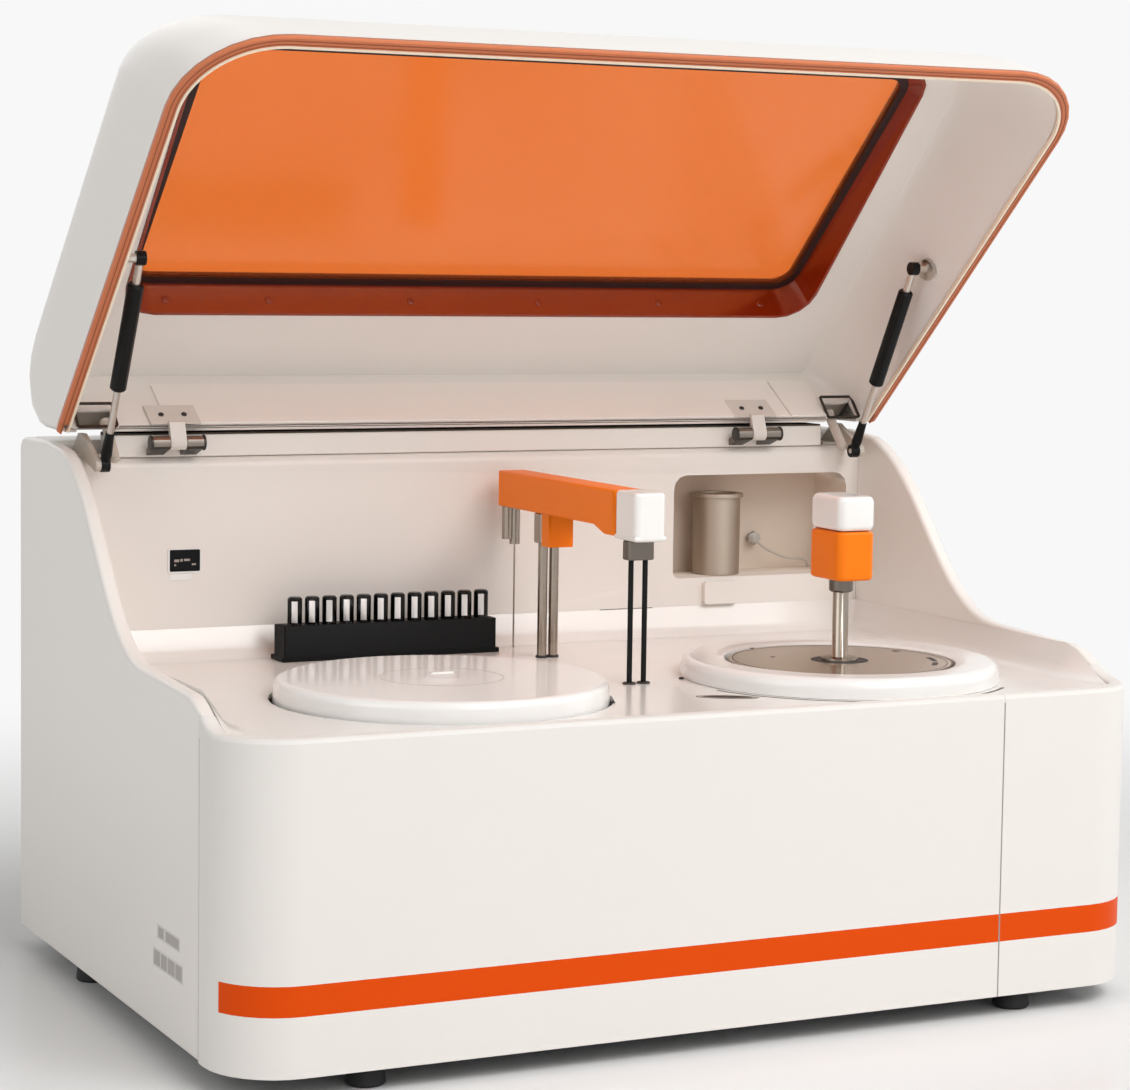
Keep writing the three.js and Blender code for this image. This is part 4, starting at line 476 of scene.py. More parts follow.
def roundEdges(piece, width, segments=2):
    selectOnly(piece)
    bevel = piece.modifiers.new("edge_rounds", "BEVEL")
    bevel.width = width * mm
    bevel.segments = segments
    bevel.limit_method = "ANGLE"
    bevel.angle_limit = math.radians(30)
    bevel.use_clamp_overlap = True
    bpy.ops.object.modifier_apply(modifier="edge_rounds")


def refine(node, material, edge=0, angle=32):
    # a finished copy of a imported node: merged, flat faces joined, edges rounded and shaded softly
    source = nodes[node]
    piece = bpy.data.objects.new(node + "_finished", source.data.copy())
    scene.collection.objects.link(piece)
    selectOnly(piece)
    bpy.ops.object.mode_set(mode="EDIT")
    bpy.ops.mesh.select_all(action="SELECT")
    bpy.ops.mesh.remove_doubles(threshold=0.01 * mm)
    bpy.ops.mesh.dissolve_limited(angle_limit=math.radians(0.6))
    bpy.ops.object.mode_set(mode="OBJECT")
    if edge:
        roundEdges(piece, edge)
    crease(piece, angle)
    return settle(piece, material, source["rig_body"], node)


def bodyOf(node):
    return nodes[node]["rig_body"]


def cornersOf(node):
    # the node's lowest and highest corner in millimetres
    return [[value / mm for value in corner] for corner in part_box(node)]


def middleOf(node):
    return [(low + high) / 2 / mm for low, high in zip(*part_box(node))]


def pivotOf(joint):
    # a hinge joint's place in millimetres
    return [value / mm for value in joints[joint]["pos_m"]]


def pick(piece, test, kind="FACE"):
    # in edit mode, selects the faces or corners whose place in millimetres passes the test
    bpy.ops.mesh.select_mode(type=kind)
    bpy.ops.mesh.select_all(action="DESELECT")
    bpy.ops.object.mode_set(mode="OBJECT")
    if kind == "FACE":
        for face in piece.data.polygons:
            face.select = bool(test(face.center / mm))
    else:
        for vertex in piece.data.vertices:
            vertex.select = bool(test(vertex.co / mm))
    bpy.ops.object.mode_set(mode="EDIT")


def tidyFaces(piece):
    selectOnly(piece)
    bpy.ops.object.mode_set(mode="EDIT")
    bpy.ops.mesh.select_all(action="SELECT")
    bpy.ops.mesh.remove_doubles(threshold=0.002 * mm)
    bpy.ops.mesh.normals_make_consistent(inside=False)
    bpy.ops.object.mode_set(mode="OBJECT")


def addBlock(name, low, high, round=0, segments=2):
    # a block between two corners, with its edges rounded
    bpy.ops.object.select_all(action="DESELECT")
    bpy.ops.mesh.primitive_cube_add(size=1, location=[(a + b) / 2 * mm for a, b in zip(low, high)])
    piece = bpy.context.active_object
    piece.name = name
    piece.scale = [(b - a) * mm for a, b in zip(low, high)]
    bpy.ops.object.transform_apply(location=True, rotation=True, scale=True)
    if round:
        roundEdges(piece, round, segments)
    return piece


def turnPiece(name, centre, profile, steps=48, closed=False):
    # a circle extruded ring by ring along [radius, height] pairs about an upright axis
    cx, cy = centre[0] * mm, centre[1] * mm
    bpy.ops.object.select_all(action="DESELECT")
    bpy.ops.mesh.primitive_circle_add(vertices=steps, radius=profile[0][0] * mm,
                                      location=(cx, cy, profile[0][1] * mm))
    piece = bpy.context.active_object
    piece.name = name
    bpy.ops.object.transform_apply(location=True, rotation=True, scale=True)
    bpy.ops.object.mode_set(mode="EDIT")
    bpy.ops.mesh.select_mode(type="VERT")
    bpy.ops.mesh.select_all(action="SELECT")
    for (r0, z0), (r1, z1) in zip(profile, profile[1:]):
        bpy.ops.mesh.extrude_edges_move(TRANSFORM_OT_translate={"value": (0, 0, (z1 - z0) * mm)})
        if abs(r1 - r0) > 0.001:
            bpy.ops.transform.resize(value=(r1 / r0, r1 / r0, 1), center_override=(cx, cy, z1 * mm))
    if not closed:
        bpy.ops.mesh.edge_face_add()
    bpy.ops.mesh.select_all(action="DESELECT")
    bpy.ops.object.mode_set(mode="OBJECT")
    last = steps * (len(profile) - 1)
    for vertex in piece.data.vertices:
        vertex.select = vertex.index < steps or (closed and vertex.index >= last)
    bpy.ops.object.mode_set(mode="EDIT")
    if closed:
        bpy.ops.mesh.bridge_edge_loops()
    else:
        bpy.ops.mesh.edge_face_add()
    bpy.ops.object.mode_set(mode="OBJECT")
    tidyFaces(piece)
    return piece


def flatRing(name, centre, inner, outer, low, high, steps):
    # a low ring with square edges
    return turnPiece(name, centre, [(inner, low), (inner, high), (outer, high), (outer, low)],
                     steps, True)


def arcBar(name, inner, outer, low, high, sweep, steps):
    # a low curved bar: a thin slice, its end face spun about the upright axis
    bar = addBlock(name, (inner, -0.05, low), (outer, 0.05, high))
    bpy.ops.object.mode_set(mode="EDIT")
    pick(bar, lambda place: place.y > 0.04)
    bpy.ops.mesh.spin(steps=steps, angle=math.radians(sweep), center=(0, 0, 0), axis=(0, 0, 1))
    bpy.ops.object.mode_set(mode="OBJECT")
    tidyFaces(bar)
    return bar


def frameStrip(name, low, high, radii, width, base, rise, openBehind=None, segments=14):
    # a flat ring with rounded corners: a plane, bevelled there, inset, opened and made thick
    bpy.ops.object.select_all(action="DESELECT")
    centre = [(a + b) / 2 * mm for a, b in zip(low, high)]
    bpy.ops.mesh.primitive_plane_add(size=1, location=centre + [base * mm])
    piece = bpy.context.active_object
    piece.name = name
    piece.scale = [(b - a) * mm for a, b in zip(low, high)] + [1]
    bpy.ops.object.transform_apply(location=True, rotation=True, scale=True)
    bpy.ops.object.mode_set(mode="EDIT")
    middle = (low[1] + high[1]) / 2
    for radius, front in zip(radii, (True, False)):
        if radius:
            pick(piece, lambda place: (place.y < middle) == front, "VERT")
            bpy.ops.mesh.bevel(offset=radius * mm, segments=segments, affect="VERTICES")
    pick(piece, lambda place: True)
    bpy.ops.mesh.inset(thickness=width * mm, depth=0)
    bpy.ops.mesh.delete(type="FACE")
    if openBehind is not None:
        bpy.ops.mesh.select_all(action="SELECT")
        bpy.ops.mesh.bisect(plane_co=(0, openBehind * mm, 0), plane_no=(0, 1, 0), clear_outer=True)
    bpy.ops.object.mode_set(mode="OBJECT")
    selectOnly(piece)
    depth = piece.modifiers.new("depth", "SOLIDIFY")
    depth.thickness = rise * mm
    depth.offset = 1
    bpy.ops.object.modifier_apply(modifier="depth")
    tidyFaces(piece)
    return piece


def carry(piece, matrix):
    # the mesh is taken along, so the object stays at the origin
    piece.data.transform(matrix)
    piece.data.update()
    return piece


def standing(place, way, spin=0):
    # a matrix that stands +Z on a direction at a place in millimetres
    turn = Vector((0, 0, 1)).rotation_difference(Vector(way)).to_matrix().to_4x4()
    return Matrix.Translation(Vector(place) * mm) @ turn @ Matrix.Rotation(spin, 4, "Z")


def copies(model, name, matrices, material, body):
    # one modelled piece, copied to each place with its own mesh
    made = []
    for count, matrix in enumerate(matrices):
        piece = bpy.data.objects.new(f"{name}_{count + 1}", model.data.copy())
        scene.collection.objects.link(piece)
        carry(piece, matrix)
        made.append(settle(piece, material, body))
    return made


def drop(*models):
    for model in models:
        bpy.data.objects.remove(model)


def screwHead(name, radius, rise):
    # a low pan head with a round socket, a third as deep as the head is high
    deep = rise * 0.35
    piece = turnPiece(name, (0, 0), [
        (radius, 0), (radius, rise * 0.5), (radius * 0.86, rise * 0.85), (radius * 0.6, rise)], 24)
    bpy.ops.object.mode_set(mode="EDIT")
    pick(piece, lambda place: place.z > rise * 0.99 and math.hypot(place.x, place.y) < radius * 0.3)
    bpy.ops.mesh.inset(thickness=radius * 0.14 * mm, depth=0)
    bpy.ops.mesh.extrude_region_move(TRANSFORM_OT_translate={"value": (0, 0, -deep * mm)})
    bpy.ops.object.mode_set(mode="OBJECT")
    crease(piece, 30)
    return piece


# Cabinet: side panels, front skin with its band, deck, back wall and covers
for name in ("left_side_panel", "right_side_panel"):
    refine(name, shellWhite, 0, 40)
for name in ("front_panel", "front_right_panel"):
    refine(name, shellBand, 0, 40)
refine("top_deck", deckWhite, 0, 40)
wall = refine("back_wall", wallBeige, 0, 35)
niche = {"x": (200, 404), "z": (334, 441), "behind": 181.6}
# painted shade: the niche's inner faces get the darker beige
addFinish(wall, nicheShadeBeige, lambda place, way: niche["x"][0] < place.x < niche["x"][1]
          and niche["z"][0] < place.z < niche["z"][1] and place.y > niche["behind"])
refine("rear_top_cover", shellWhite, 0.8)
# the sill along the top cover's front edge, and a dark lip under the lid, painted shade of the gap
# there
sill = {"x": 374, "front": 186, "rear": 224.9, "low": 466.2, "high": 486.4, "round": 1.2,
        "lipTop": 488, "lipFront": 2, "lipRear": 1, "lipSunk": 2, "lipRound": 0.6}
piece = addBlock("rear_sill", (-sill["x"], sill["front"], sill["low"]),
                 (sill["x"], sill["rear"], sill["high"]), sill["round"], 3)
crease(piece)
settle(piece, wallBeige, "cabinet")
piece = addBlock("rear_sill_gap_shade",
                 (-sill["x"], sill["front"] + sill["lipFront"], sill["high"] - sill["lipSunk"]),
                 (sill["x"], sill["rear"] - sill["lipRear"], sill["lipTop"]), sill["lipRound"], 3)
settle(piece, gapShadeBrown, "cabinet")
refine("rear_panel", shellWhite, 0.6)
refine("base_pan", greyZinc, 0.5)
for side in ("left", "right"):
    for end in ("front", "rear"):
        refine(f"foot_{end}_{side}", rubber, 0.5)

# two bare plates low on the left side; their grey fields run from the front edge to the rear
labels = {"proud": 0.25, "inked": 0.06, "sunk": 0.5, "border": 1.6,
          "plateRound": 0.12, "fieldRound": 0.03,
          "upper": (-176, -118, 95.5, 107.5), "upperFields": [(0.04, 0.62), (0.7, 0.94)],
          "lower": (-183.5, -108, 71, 86.5),
          "lowerFields": [(0.03, 0.24), (0.27, 0.5), (0.53, 0.73), (0.76, 0.97)]}
sideFace = cornersOf("left_side_panel")[0][0]
outside = sideFace - labels["proud"]
for name in ("upper", "lower"):
    y0, y1, z0, z1 = labels[name]
    plate = addBlock(f"label_plate_{name}", (outside, y0, z0),
                     (sideFace + labels["sunk"], y1, z1), labels["plateRound"])
    settle(plate, plainPaper, "cabinet")
    for count, (start, end) in enumerate(labels[name + "Fields"]):
        field = addBlock(f"label_field_{name}_{count + 1}",
                         (outside - labels["inked"], y0 + (y1 - y0) * start, z0 + labels["border"]),
                         (sideFace, y0 + (y1 - y0) * end, z1 - labels["border"]),
                         labels["fieldRound"], 1)
        settle(field, printedGrey, "cabinet")

# rear panel: half-sunk screws round its border and one bare plate
rearScrews = {"radius": 3.6, "rise": 0.7, "proud": 0.3, "xs": (-398, -200, 0, 200, 398),
              "zs": (40, 452), "middle": 246}
rearPlate = {"x": 60, "low": 92, "high": 152, "proud": 0.4, "round": 0.25}
rearFace = cornersOf("rear_panel")[1][1]
screw = screwHead("screw_model", rearScrews["radius"], rearScrews["rise"])
sunk = rearFace + rearScrews["proud"] - rearScrews["rise"]
spots = [standing((x, sunk, z), (0, 1, 0), x * 0.7)
         for z in rearScrews["zs"] for x in rearScrews["xs"]]
spots += [standing((x, sunk, rearScrews["middle"]), (0, 1, 0), x * 0.3)
          for x in (rearScrews["xs"][0], rearScrews["xs"][-1])]
for piece in copies(screw, "rear_screw", spots, platedSteel, "cabinet"):
    # painted shade in each screw's socket
    addFinish(piece, shadowLine, lambda place, way: way.y > 0.9
              and place.y < sunk + rearScrews["rise"] - 0.05)
drop(screw)
plate = addBlock("rear_plate", (-rearPlate["x"], rearFace - rearPlate["proud"], rearPlate["low"]),
                 (rearPlate["x"], rearFace + rearPlate["proud"], rearPlate["high"]),
                 rearPlate["round"])
settle(plate, plainPaper, "cabinet")
print("cabinet finished")

# Deck: painted shade of a recess by the ring, guide pins, collars of posts and probes, the wall's
# foot slot
deckTop = 280  # its flat; the node ends higher, where it curves up into the wall
recessShade = {"x": 50, "y": -204, "long": 27, "wide": 9.5, "turn": -28, "dishAbove": 0.2,
        "profile": [(1, -0.4), (1, 0.3), (0.86, 0.5), (0.8, 0.12), (0.3, 0.1)]}
# painted shade: a dark flat lens for the recess, its dish in half shade
lens = turnPiece("deck_recess_shade", (0, 0), recessShade["profile"], 48)
carry(lens, standing((recessShade["x"], recessShade["y"], deckTop), (0, 0, 1), math.radians(recessShade["turn"]))
      @ Matrix.Diagonal((recessShade["long"], recessShade["wide"], 1, 1)))
crease(lens)
settle(lens, shadowLine, "cabinet")
addFinish(lens, softLine, lambda place, way: place.z > deckTop + recessShade["dishAbove"])
pins = {"radius": 2.4, "rise": 1.6, "places": [(64, -95.3), (-58, -199)]}
pin = turnPiece("pin_model", (0, 0), [(pins["radius"], -0.4), (pins["radius"], pins["rise"] * 0.6),
                                      (pins["radius"] * 0.7, pins["rise"])], 24)
copies(pin, "deck_pin", [standing((x, y, deckTop), (0, 0, 1)) for x, y in pins["places"]],
       shadowLine, "cabinet")
drop(pin)
collars = {"post": {"on": "lift_posts", "bore": 5.1, "radius": 8, "rise": 2.2, "spacing": 11.5},
           "probe": {"on": "probe_rod_left", "bore": 3.1, "radius": 6, "rise": 1.5, "spacing": 14}}
armX = middleOf("lift_posts")[0]  # posts and probes stand either side of it
for kind in ("post", "probe"):
    size = collars[kind]
    bore, rise = size["bore"], size["rise"]
    outer = min(size["radius"], size["spacing"] / 2 - 0.1)  # neighbours stay a hair apart
    collar = turnPiece("collar_model", (0, 0), [
        (bore, -0.3), (outer, -0.3), (outer, rise * 0.7), (outer - 0.5, rise), (bore, rise)],
        32, True)
    crease(collar)
    y = middleOf(size["on"])[1]
    places = [standing((armX + side * size["spacing"] / 2, y, deckTop), (0, 0, 1))
              for side in (-1, 1)]
    copies(collar, f"deck_collar_{kind}", places, shadowLine, "cabinet")
    drop(collar)
# painted shade: a thin dark strip on the wall's face for the slot at its foot
footSlot = {"low": (121, 180.5, 305.8), "high": (180, 181.3, 308.2), "round": 0.2}
piece = addBlock("wall_foot_slot", footSlot["low"], footSlot["high"], footSlot["round"])
settle(piece, shadowLine, "cabinet")
# painted shade of a shallow groove in the deck beside the ring, run out to the seam in front: a dark
# strip barely proud
groove = {"radius": 149, "width": 3.0, "low": -0.4, "high": 0.15,
          "start": -48, "sweep": 118, "steps": 48}
bar = arcBar("deck_groove_arc", groove["radius"], groove["radius"] + groove["width"],
             groove["low"], groove["high"], groove["sweep"], groove["steps"])
carry(bar, standing((*pivotOf("reaction_spin")[:2], deckTop), (0, 0, 1),
                    math.radians(groove["start"])))
settle(bar, grooveShade, "cabinet")
print("deck finished")

# Tray and its cover: a fine groove line round the knob and a grip bar across it
refine("tray_cover", glossWhite, 0, 40)
refine("sample_rotor", greyPlastic, 0, 40)
cover = {"knobRise": 3.5, "lineRadius": 52, "lineWidth": 0.8, "lineSunk": 0.2, "lineRise": 0.08,
         "gripLength": 20, "gripWidth": 6, "gripSunk": 0.5, "gripRise": 1.0, "gripRound": 0.8}
trayX, trayY = middleOf("tray_cover")[:2]
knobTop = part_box("tray_cover")[1].z / mm
coverTop = knobTop - cover["knobRise"]
# painted half shade: a thin grey ring barely proud stands for the fine groove round the knob
line = flatRing("cover_groove_line", (trayX, trayY), cover["lineRadius"],
                cover["lineRadius"] + cover["lineWidth"],
                coverTop - cover["lineSunk"], coverTop + cover["lineRise"], 96)
settle(line, softLine, bodyOf("tray_cover"))
half, deep = cover["gripLength"] / 2, cover["gripWidth"] / 2
grip = addBlock("cover_grip", (trayX - half, trayY - deep, knobTop - cover["gripSunk"]),
                (trayX + half, trayY + deep, knobTop + cover["gripRise"]), cover["gripRound"], 3)
settle(grip, glossWhite, bodyOf("tray_cover"))

# Reaction unit: ring, turned plate with a dark centre recess, slots and dots, and the mixing head
refine("reaction_ring", glossWhite, 0, 40)
refine("reaction_disc", darkPlate, 0, 40)
disc = {"recess": (17.6, 26), "edge": (96.2, 97), "sunk": 0.3, "rise": 0.12, "edgeRise": 0.08,
        "slotRadius": 86, "slotWidth": 5, "slots": [(-32, 12), (-10, 16), (24, 4)],
        "dots": [(171.6, -33.1), (159, -93), (289.7, -98)], "dotRadius": 2.4}
discX, discY = middleOf("reaction_disc")[:2]
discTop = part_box("reaction_disc")[1].z / mm
discBody = bodyOf("reaction_disc")
low, high = discTop - disc["sunk"], discTop + disc["rise"]
# painted shade: dark flat pieces barely proud of the plate stand for its centre recess, edge line,
# slots and dots
recess = flatRing("plate_centre_recess", (discX, discY), *disc["recess"], low, high, 64)
settle(recess, shadowLine, discBody)
edgeLine = flatRing("plate_edge_line", (discX, discY), *disc["edge"],
                    low, discTop + disc["edgeRise"], 96)
settle(edgeLine, shadowLine, discBody)
for count, (start, sweep) in enumerate(disc["slots"]):
    bar = arcBar(f"plate_slot_{count + 1}", disc["slotRadius"] - disc["slotWidth"] / 2,
                 disc["slotRadius"] + disc["slotWidth"] / 2, low, high, sweep, 8)
    carry(bar, standing((discX, discY, 0), (0, 0, 1), math.radians(start)))
    settle(bar, shadowLine, discBody)
dot = turnPiece("dot_model", (0, 0), [(disc["dotRadius"], -0.3), (disc["dotRadius"], 0.1),
                                      (disc["dotRadius"] * 0.5, 0.12)], 20)
copies(dot, "plate_dot", [standing((x, y, discTop), (0, 0, 1)) for x, y in disc["dots"]],
       shadowLine, discBody)
drop(dot)
refine("mixer_column", steelRod, 0, 40)
refine("mixer_collar", collarSteel, 0.4)
refine("mixer_head", orangeShell, 0, 40)
refine("mixer_cap", glossWhite, 0, 40)
print("discs finished")

# Sampling arm, with the lip round the foot of its white cap
refine("arm_housing", orangeShell, 0, 40)
refine("arm_cap", glossWhite, 0, 40)
refine("probe_collar", collarSteel, 0.3)
refine("probe_rod_left", blackCoat, 0, 50)
refine("probe_rod_right", blackCoat, 0, 50)
refine("lift_posts", steelRod, 0, 40)
refine("needle_block", steelRod, 0, 40)
lip = {"proud": 0.5, "short": 0.6, "low": 0.4, "high": 5.4, "round": 6}
(x0, y0, z0), (x1, y1, z1) = cornersOf("arm_cap")
cuff = addBlock("arm_cap_lip", (x0 - lip["proud"], y0, z0 + lip["low"]),
                (x1 + lip["proud"], y1 - lip["short"], z0 + lip["high"]), lip["round"], 5)
crease(cuff)
settle(cuff, glossWhite, bodyOf("arm_cap"))

# Rack: smoked tubes in a matt black moulded block, each with a painted highlight down its front
rack = refine("sample_rack", blackNylon, 0, 50)
highlightBand = {"tubeRise": 26, "foot": 0.5, "low": 2.5, "high": 22.5, "toward": (-0.44, -0.9, 0),
         "spread": 0.88}
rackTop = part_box("sample_rack")[1].z / mm - highlightBand["tubeRise"]
selectOnly(rack)
bpy.ops.object.mode_set(mode="EDIT")
for height in (highlightBand["low"], highlightBand["high"]):
    bpy.ops.mesh.select_all(action="SELECT")
    bpy.ops.mesh.bisect(plane_co=(0, 0, (rackTop + height) * mm), plane_no=(0, 0, 1))
bpy.ops.object.mode_set(mode="OBJECT")
addFinish(rack, tubeGlass, lambda place, way: place.z > rackTop + highlightBand["foot"])
# painted highlight: faces turned along 'toward' get the pale strip
addFinish(rack, tubeHighlight, lambda place, way:
          rackTop + highlightBand["low"] < place.z < rackTop + highlightBand["high"]
          and way.dot(Vector(highlightBand["toward"])) > highlightBand["spread"])

# Status window: plain bars on dark glass, a bezel and a bare tag below it
refine("status_window", blackGlass, 0.2)
status = {"marks": [(0.14, 0.3, 0.44, 0.56), (0.34, 0.42, 0.46, 0.58), (0.46, 0.66, 0.48, 0.58),
                    (0.72, 0.86, 0.28, 0.36), (0.14, 0.2, 0.26, 0.34)],
          "inked": 0.12, "sunk": 0.2, "markRound": 0.05, "wallFace": 181,
          "tagInset": 0.4, "tagShare": 0.72, "tagLow": 8.2, "tagHigh": 2.6, "tagFront": 0.6,
          "tagBack": 0.3, "tagRound": 0.4,
          "bezelBeyond": 1.6, "bezelCorner": 2, "bezelWidth": 1.5, "bezelRise": 1.1}
(x0, y0, z0), (x1, y1, z1) = cornersOf("status_window")
wide, tall = x1 - x0, z1 - z0
for count, (left, right, low, high) in enumerate(status["marks"]):
    mark = addBlock(f"status_mark_{count + 1}",
                    (x0 + wide * left, y0 - status["inked"], z0 + tall * low),
                    (x0 + wide * right, y0 + status["sunk"], z0 + tall * high),
                    status["markRound"], 1)
    settle(mark, softLine, "cabinet")
tag = addBlock("status_tag",
               (x0 + status["tagInset"], status["wallFace"] - status["tagFront"],
                z0 - status["tagLow"]),
               (x0 + wide * status["tagShare"], status["wallFace"] + status["tagBack"],
                z0 - status["tagHigh"]), status["tagRound"])
settle(tag, glossWhite, "cabinet")
halfWide, halfTall = wide / 2 + status["bezelBeyond"], tall / 2 + status["bezelBeyond"]
bezel = frameStrip("status_bezel", (-halfWide, -halfTall), (halfWide, halfTall),
                   (status["bezelCorner"], status["bezelCorner"]), status["bezelWidth"],
                   0, status["bezelRise"], None, 5)
carry(bezel, Matrix.Translation(((x0 + x1) / 2 * mm, status["wallFace"] * mm, (z0 + z1) / 2 * mm))
      @ Matrix.Rotation(math.radians(90), 4, "X"))
crease(bezel)
settle(bezel, glossWhite, "cabinet")

# Wall pieces, power inlet with its switch, and inner units
refine("wash_cylinder", brushedAluminium, 0.4, 40)
refine("niche_hose", hoseClear, 0, 60)
refine("power_inlet", blackNylon, 0.3)
refine("power_switch", blackNylon, 0.3)
for name, material in (("power_supply", greyZinc), ("control_board", boardGreen),
                       ("photometer", blackenedSteelAndShade), ("syringe_pump", greyPlastic),
                       ("tray_drive", blackenedSteelAndShade), ("reaction_hub", blackenedSteelAndShade),
                       ("arm_lift_unit", blackenedSteelAndShade)):
    refine(name, material, 0.4)
print("instruments finished")

# Lid, in its own frame: the hinge axis at the origin, the front towards -Y
lid = {"half": cornersOf("rim_trim")[1][0], "length": 499.93, "frontCorner": 85,
       "topRear": 136, "topFront": 140,
       "stripEnd": 60, "stripOpen": -6,
       "windowLeft": -370, "windowRight": 350, "windowFront": -399.93, "windowRear": -67,
       "windowLean": 10, "windowCorner": 34}
tilt = -math.atan2(lid["topFront"] - lid["topRear"], lid["length"])
refine("lid_shell", shellWhite, 0, 40)
refine("lid_liner", linerBeige, 0, 30)
# painted shade: the frame gets its darkened orange
refine("window_frame", frameOrangeShaded, 0, 30)
refine("lid_window", pane, 0.3)
refine("rim_trim", trimOrange, 0, 40)


def rimStrip(name, inset, width, low, high, material):
    # a thin strip that follows the rim on both sides and the front
    piece = frameStrip(name, (-lid["half"] + inset, -lid["length"] + inset),
                       (lid["half"] - inset, lid["stripEnd"]), (lid["frontCorner"] - inset, 0),
                       width, low, high - low, lid["stripOpen"], 20)
    crease(piece, 40)
    carry(piece, lidPlace)
    return settle(piece, material, "lid")


rimStrip("rim_piping", 9.2, 2.2, 8.7, 12.5, pipingCream)
# painted shade: thin dark strips stand for the trim's two grooves
rimStrip("rim_groove_outer", 3.4, 0.9, 9.55, 9.95, grooveShadeBrown)
rimStrip("rim_groove_inner", 7.2, 0.7, 9.55, 9.95, grooveShadeBrown)


def paneStrip(name, inset, width, below, thick, material):
    # a ring parallel to the pane, so far below the lid's top
    corner = lid["windowCorner"] - inset
    piece = frameStrip(name,
                       (lid["windowLeft"] + inset, lid["windowFront"] + lid["windowLean"] + inset),
                       (lid["windowRight"] - inset, lid["windowRear"] - inset),
                       (corner, corner), width, 0, thick)
    crease(piece, 40)
    carry(piece, lidPlace @ Matrix.Translation((0, 0, (lid["topRear"] - below) * mm))
          @ Matrix.Rotation(tilt, 4, "X"))
    return settle(piece, material, "lid")


# gasket rings, near black: partly rubber, partly painted shade of the groove
paneStrip("window_gasket", 8.6, 8.4, 11.6, 2.3, gasketAndGrooveShade)
paneStrip("window_gasket_outer", 14.4, 2.6, 4.0, 3.4, gasketAndGrooveShade)

frameScrews = {"radius": 3.6, "rise": 1.2, "xs": (-324, -224, -81, 53, 185, 300),
               "height": 109, "seat": -73.2, "way": (0, -36, -7)}
screw = screwHead("screw_model", frameScrews["radius"], frameScrews["rise"])
spots = [lidPlace @ standing((x, frameScrews["seat"], frameScrews["height"]),
                             frameScrews["way"], x) for x in frameScrews["xs"]]
# the frame's screws in the same darkened orange, painted shade
copies(screw, "frame_screw", spots, frameOrangeShaded, "lid")
drop(screw)

# the liner's rear wall leans back by so much between its two heights
liner = {"low": 14.1, "high": 92, "foot": -7.5, "lean": 21}


def linerRear(height):
    # how far behind the axis the liner's rear wall stands at a height
    return liner["foot"] + liner["lean"] * (height - liner["low"]) / (liner["high"] - liner["low"])


# thin rails on the liner's rear wall, either side of a seam
rails = {"low": 15.5, "high": 74.4, "thick": 2.0, "sunk": 0.6, "round": 0.8,
         "spans": [(-326, 330.5), (332, 376)]}
lean = math.atan2(liner["lean"], liner["high"] - liner["low"])
run = (rails["high"] - rails["low"]) / math.cos(lean)
for count, (x0, x1) in enumerate(rails["spans"]):
    rail = addBlock(f"liner_rail_{count + 1}", (x0, -rails["thick"], 0),
                    (x1, rails["sunk"], run), rails["round"], 3)
    carry(rail, lidPlace
          @ Matrix.Translation((0, linerRear(rails["low"]) * mm, rails["low"] * mm))
          @ Matrix.Rotation(-lean, 4, "X"))
    # painted highlight: the rails get the paler liner finish
    settle(rail, linerRailHighlight, "lid")
# painted shade: a brown strip across the gap at the lid's rear edge, between liner and shell
rearGapShade = {"x": 372, "front": (-6.8, 13.4), "rear": (34, 41.5), "thick": 1.6, "round": 0.5}
back, up = (rearGapShade["rear"][i] - rearGapShade["front"][i] for i in (0, 1))
piece = addBlock("lid_rear_gap_shade", (-rearGapShade["x"], 0, 0),
                 (rearGapShade["x"], math.hypot(back, up), rearGapShade["thick"]), rearGapShade["round"])
carry(piece, lidPlace @ Matrix.Translation((0, rearGapShade["front"][0] * mm, rearGapShade["front"][1] * mm))
      @ Matrix.Rotation(math.atan2(up, back), 4, "X"))
settle(piece, gapShadeBrown, "lid")
print("lid finished")

# Hinges: screws in the leaves, caps on the barrels, painted shade on the body leaves' undersides
hinges = {"capRadius": 7.1, "leafThick": 2.5, "screwRadius": 2.6, "screwRise": 1.4,
          "screwSpread": 11, "screwHeight": 28, "screwWay": (0, -78, 21), "shadeBelow": 474}
screw = screwHead("screw_model", hinges["screwRadius"], hinges["screwRise"])
barrelCap = turnPiece("cap_model", (0, 0), [
    (hinges["capRadius"] * 0.94, 0), (hinges["capRadius"], 0.5), (hinges["capRadius"], 1.8),
    (hinges["capRadius"] * 0.8, 2.4)], 28)
crease(barrelCap)
seat = linerRear(hinges["screwHeight"]) - hinges["leafThick"]
for side in ("left", "right"):
    x = middleOf("hinge_body_leaf_" + side)[0]
    spots = [lidPlace @ standing((x + way * hinges["screwSpread"], seat, hinges["screwHeight"]),
                                 hinges["screwWay"], way) for way in (-1, 1)]
    copies(screw, f"hinge_screw_{side}", spots, blackenedSteelAndShade, "lid")
    ends = [corner[0] for corner in cornersOf("hinge_body_leaf_" + side)]
    spots = [standing((end, *pivotOf("lid_hinge")[1:]), (way, 0, 0))
             for end, way in zip(ends, (-1, 1))]
    copies(barrelCap, f"hinge_cap_{side}", spots, blackenedSteelAndShade, "cabinet")
    refine("hinge_lid_leaf_" + side, satinZinc, 0.3, 45)
    leaf = refine("hinge_body_leaf_" + side, hingeSteel, 0.3, 45)
    # painted shade: faces turned down, and low faces turned forward, get the dark steel
    addFinish(leaf, blackenedSteelAndShade, lambda place, way: way.z < -0.4
              or (place.z < hinges["shadeBelow"] and way.y < -0.5))
drop(screw, barrelCap)

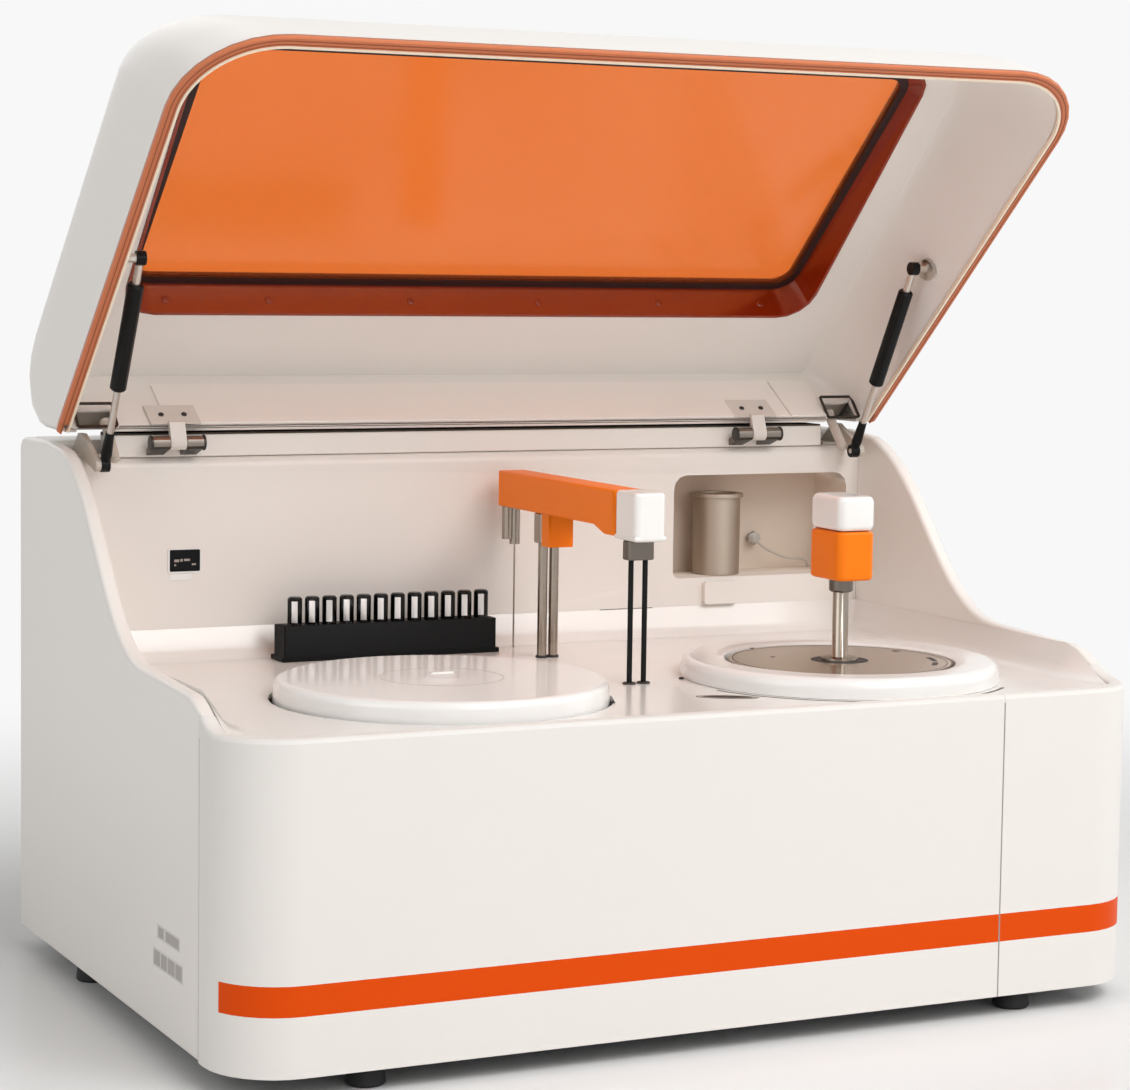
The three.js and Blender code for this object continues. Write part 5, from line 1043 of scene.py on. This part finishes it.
# Struts: black end fittings and tube, bright rod, and the arm that holds the lower end
strut = {"fittingEnd": 35.5, "tubeEnd": 186.6, "rodEnd": 204,
         "armRadius": 4.6, "armInside": 11, "armEnd": (186, 500), "armStart": 4,
         "mouthHalf": 19.5, "mouthLow": 12, "mouthHigh": 41, "mouthCorner": 3, "mouthWidth": 2.4,
         "mouthRise": 1.4, "mouthBehind": -8.2,
         "roofLeft": 21, "roofRight": 25, "roofFront": 1.5, "roofRear": 36,
         "roofLow": 46, "roofHigh": 48, "roofRound": 0.6}
along = Vector(joints["strut_slide_left"]["axis"])


def alongStrut(place, foot):
    # how far up the strut a place lies from its foot
    return (Vector(place) - foot).dot(along)


for side, sign in (("left", -1), ("right", 1)):
    foot = Vector(pivotOf("strut_pivot_" + side))
    x = foot.x
    rod = refine("strut_rod_" + side, platedSteel, 0.3, 45)
    addFinish(rod, blackCoat, lambda place, way: alongStrut(place, foot) < strut["fittingEnd"])
    tube = refine("strut_tube_" + side, blackCoat, 0.3, 45)
    addFinish(tube, platedSteel, lambda place, way:
              strut["tubeEnd"] < alongStrut(place, foot) < strut["rodEnd"])
    refine("strut_bracket_" + side, armGrey, 0.3, 45)
    refine("strut_stud_" + side, platedSteel, 0.3, 45)
    start = foot - Vector((sign * strut["armInside"], 0, 0))
    end = Vector((start.x, *strut["armEnd"]))
    way = (end - start).normalized()
    length = (end - start).length - strut["armStart"]
    radius = strut["armRadius"]
    arm = turnPiece(f"strut_arm_{side}", (0, 0), [
        (radius * 0.6, 0), (radius, 1.2), (radius, length - 6), (radius * 1.25, length - 5),
        (radius * 1.25, length - 1), (radius, length)], 28)
    crease(arm)
    carry(arm, standing(start + way * strut["armStart"], way))
    settle(arm, armGrey, "cabinet")
    # dark mouth round the arm where it comes through the liner
    mouth = frameStrip(f"strut_mouth_{side}", (x - strut["mouthHalf"], strut["mouthLow"]),
                       (x + strut["mouthHalf"], strut["mouthHigh"]),
                       (strut["mouthCorner"], strut["mouthCorner"]), strut["mouthWidth"],
                       0, strut["mouthRise"], None, 5)
    carry(mouth, lidPlace @ Matrix.Translation((0, strut["mouthBehind"] * mm, 0))
          @ Matrix.Rotation(math.radians(90), 4, "X"))
    crease(mouth)
    settle(mouth, blackenedSteelAndShade, "lid")
    # the pocket's roof behind that mouth
    roof = addBlock(f"strut_pocket_{side}",
                    (x - strut["roofLeft"], strut["roofFront"], strut["roofLow"]),
                    (x + strut["roofRight"], strut["roofRear"], strut["roofHigh"]),
                    strut["roofRound"])
    carry(roof, lidPlace)
    settle(roof, armGrey, "lid")
print("hinges and struts finished")
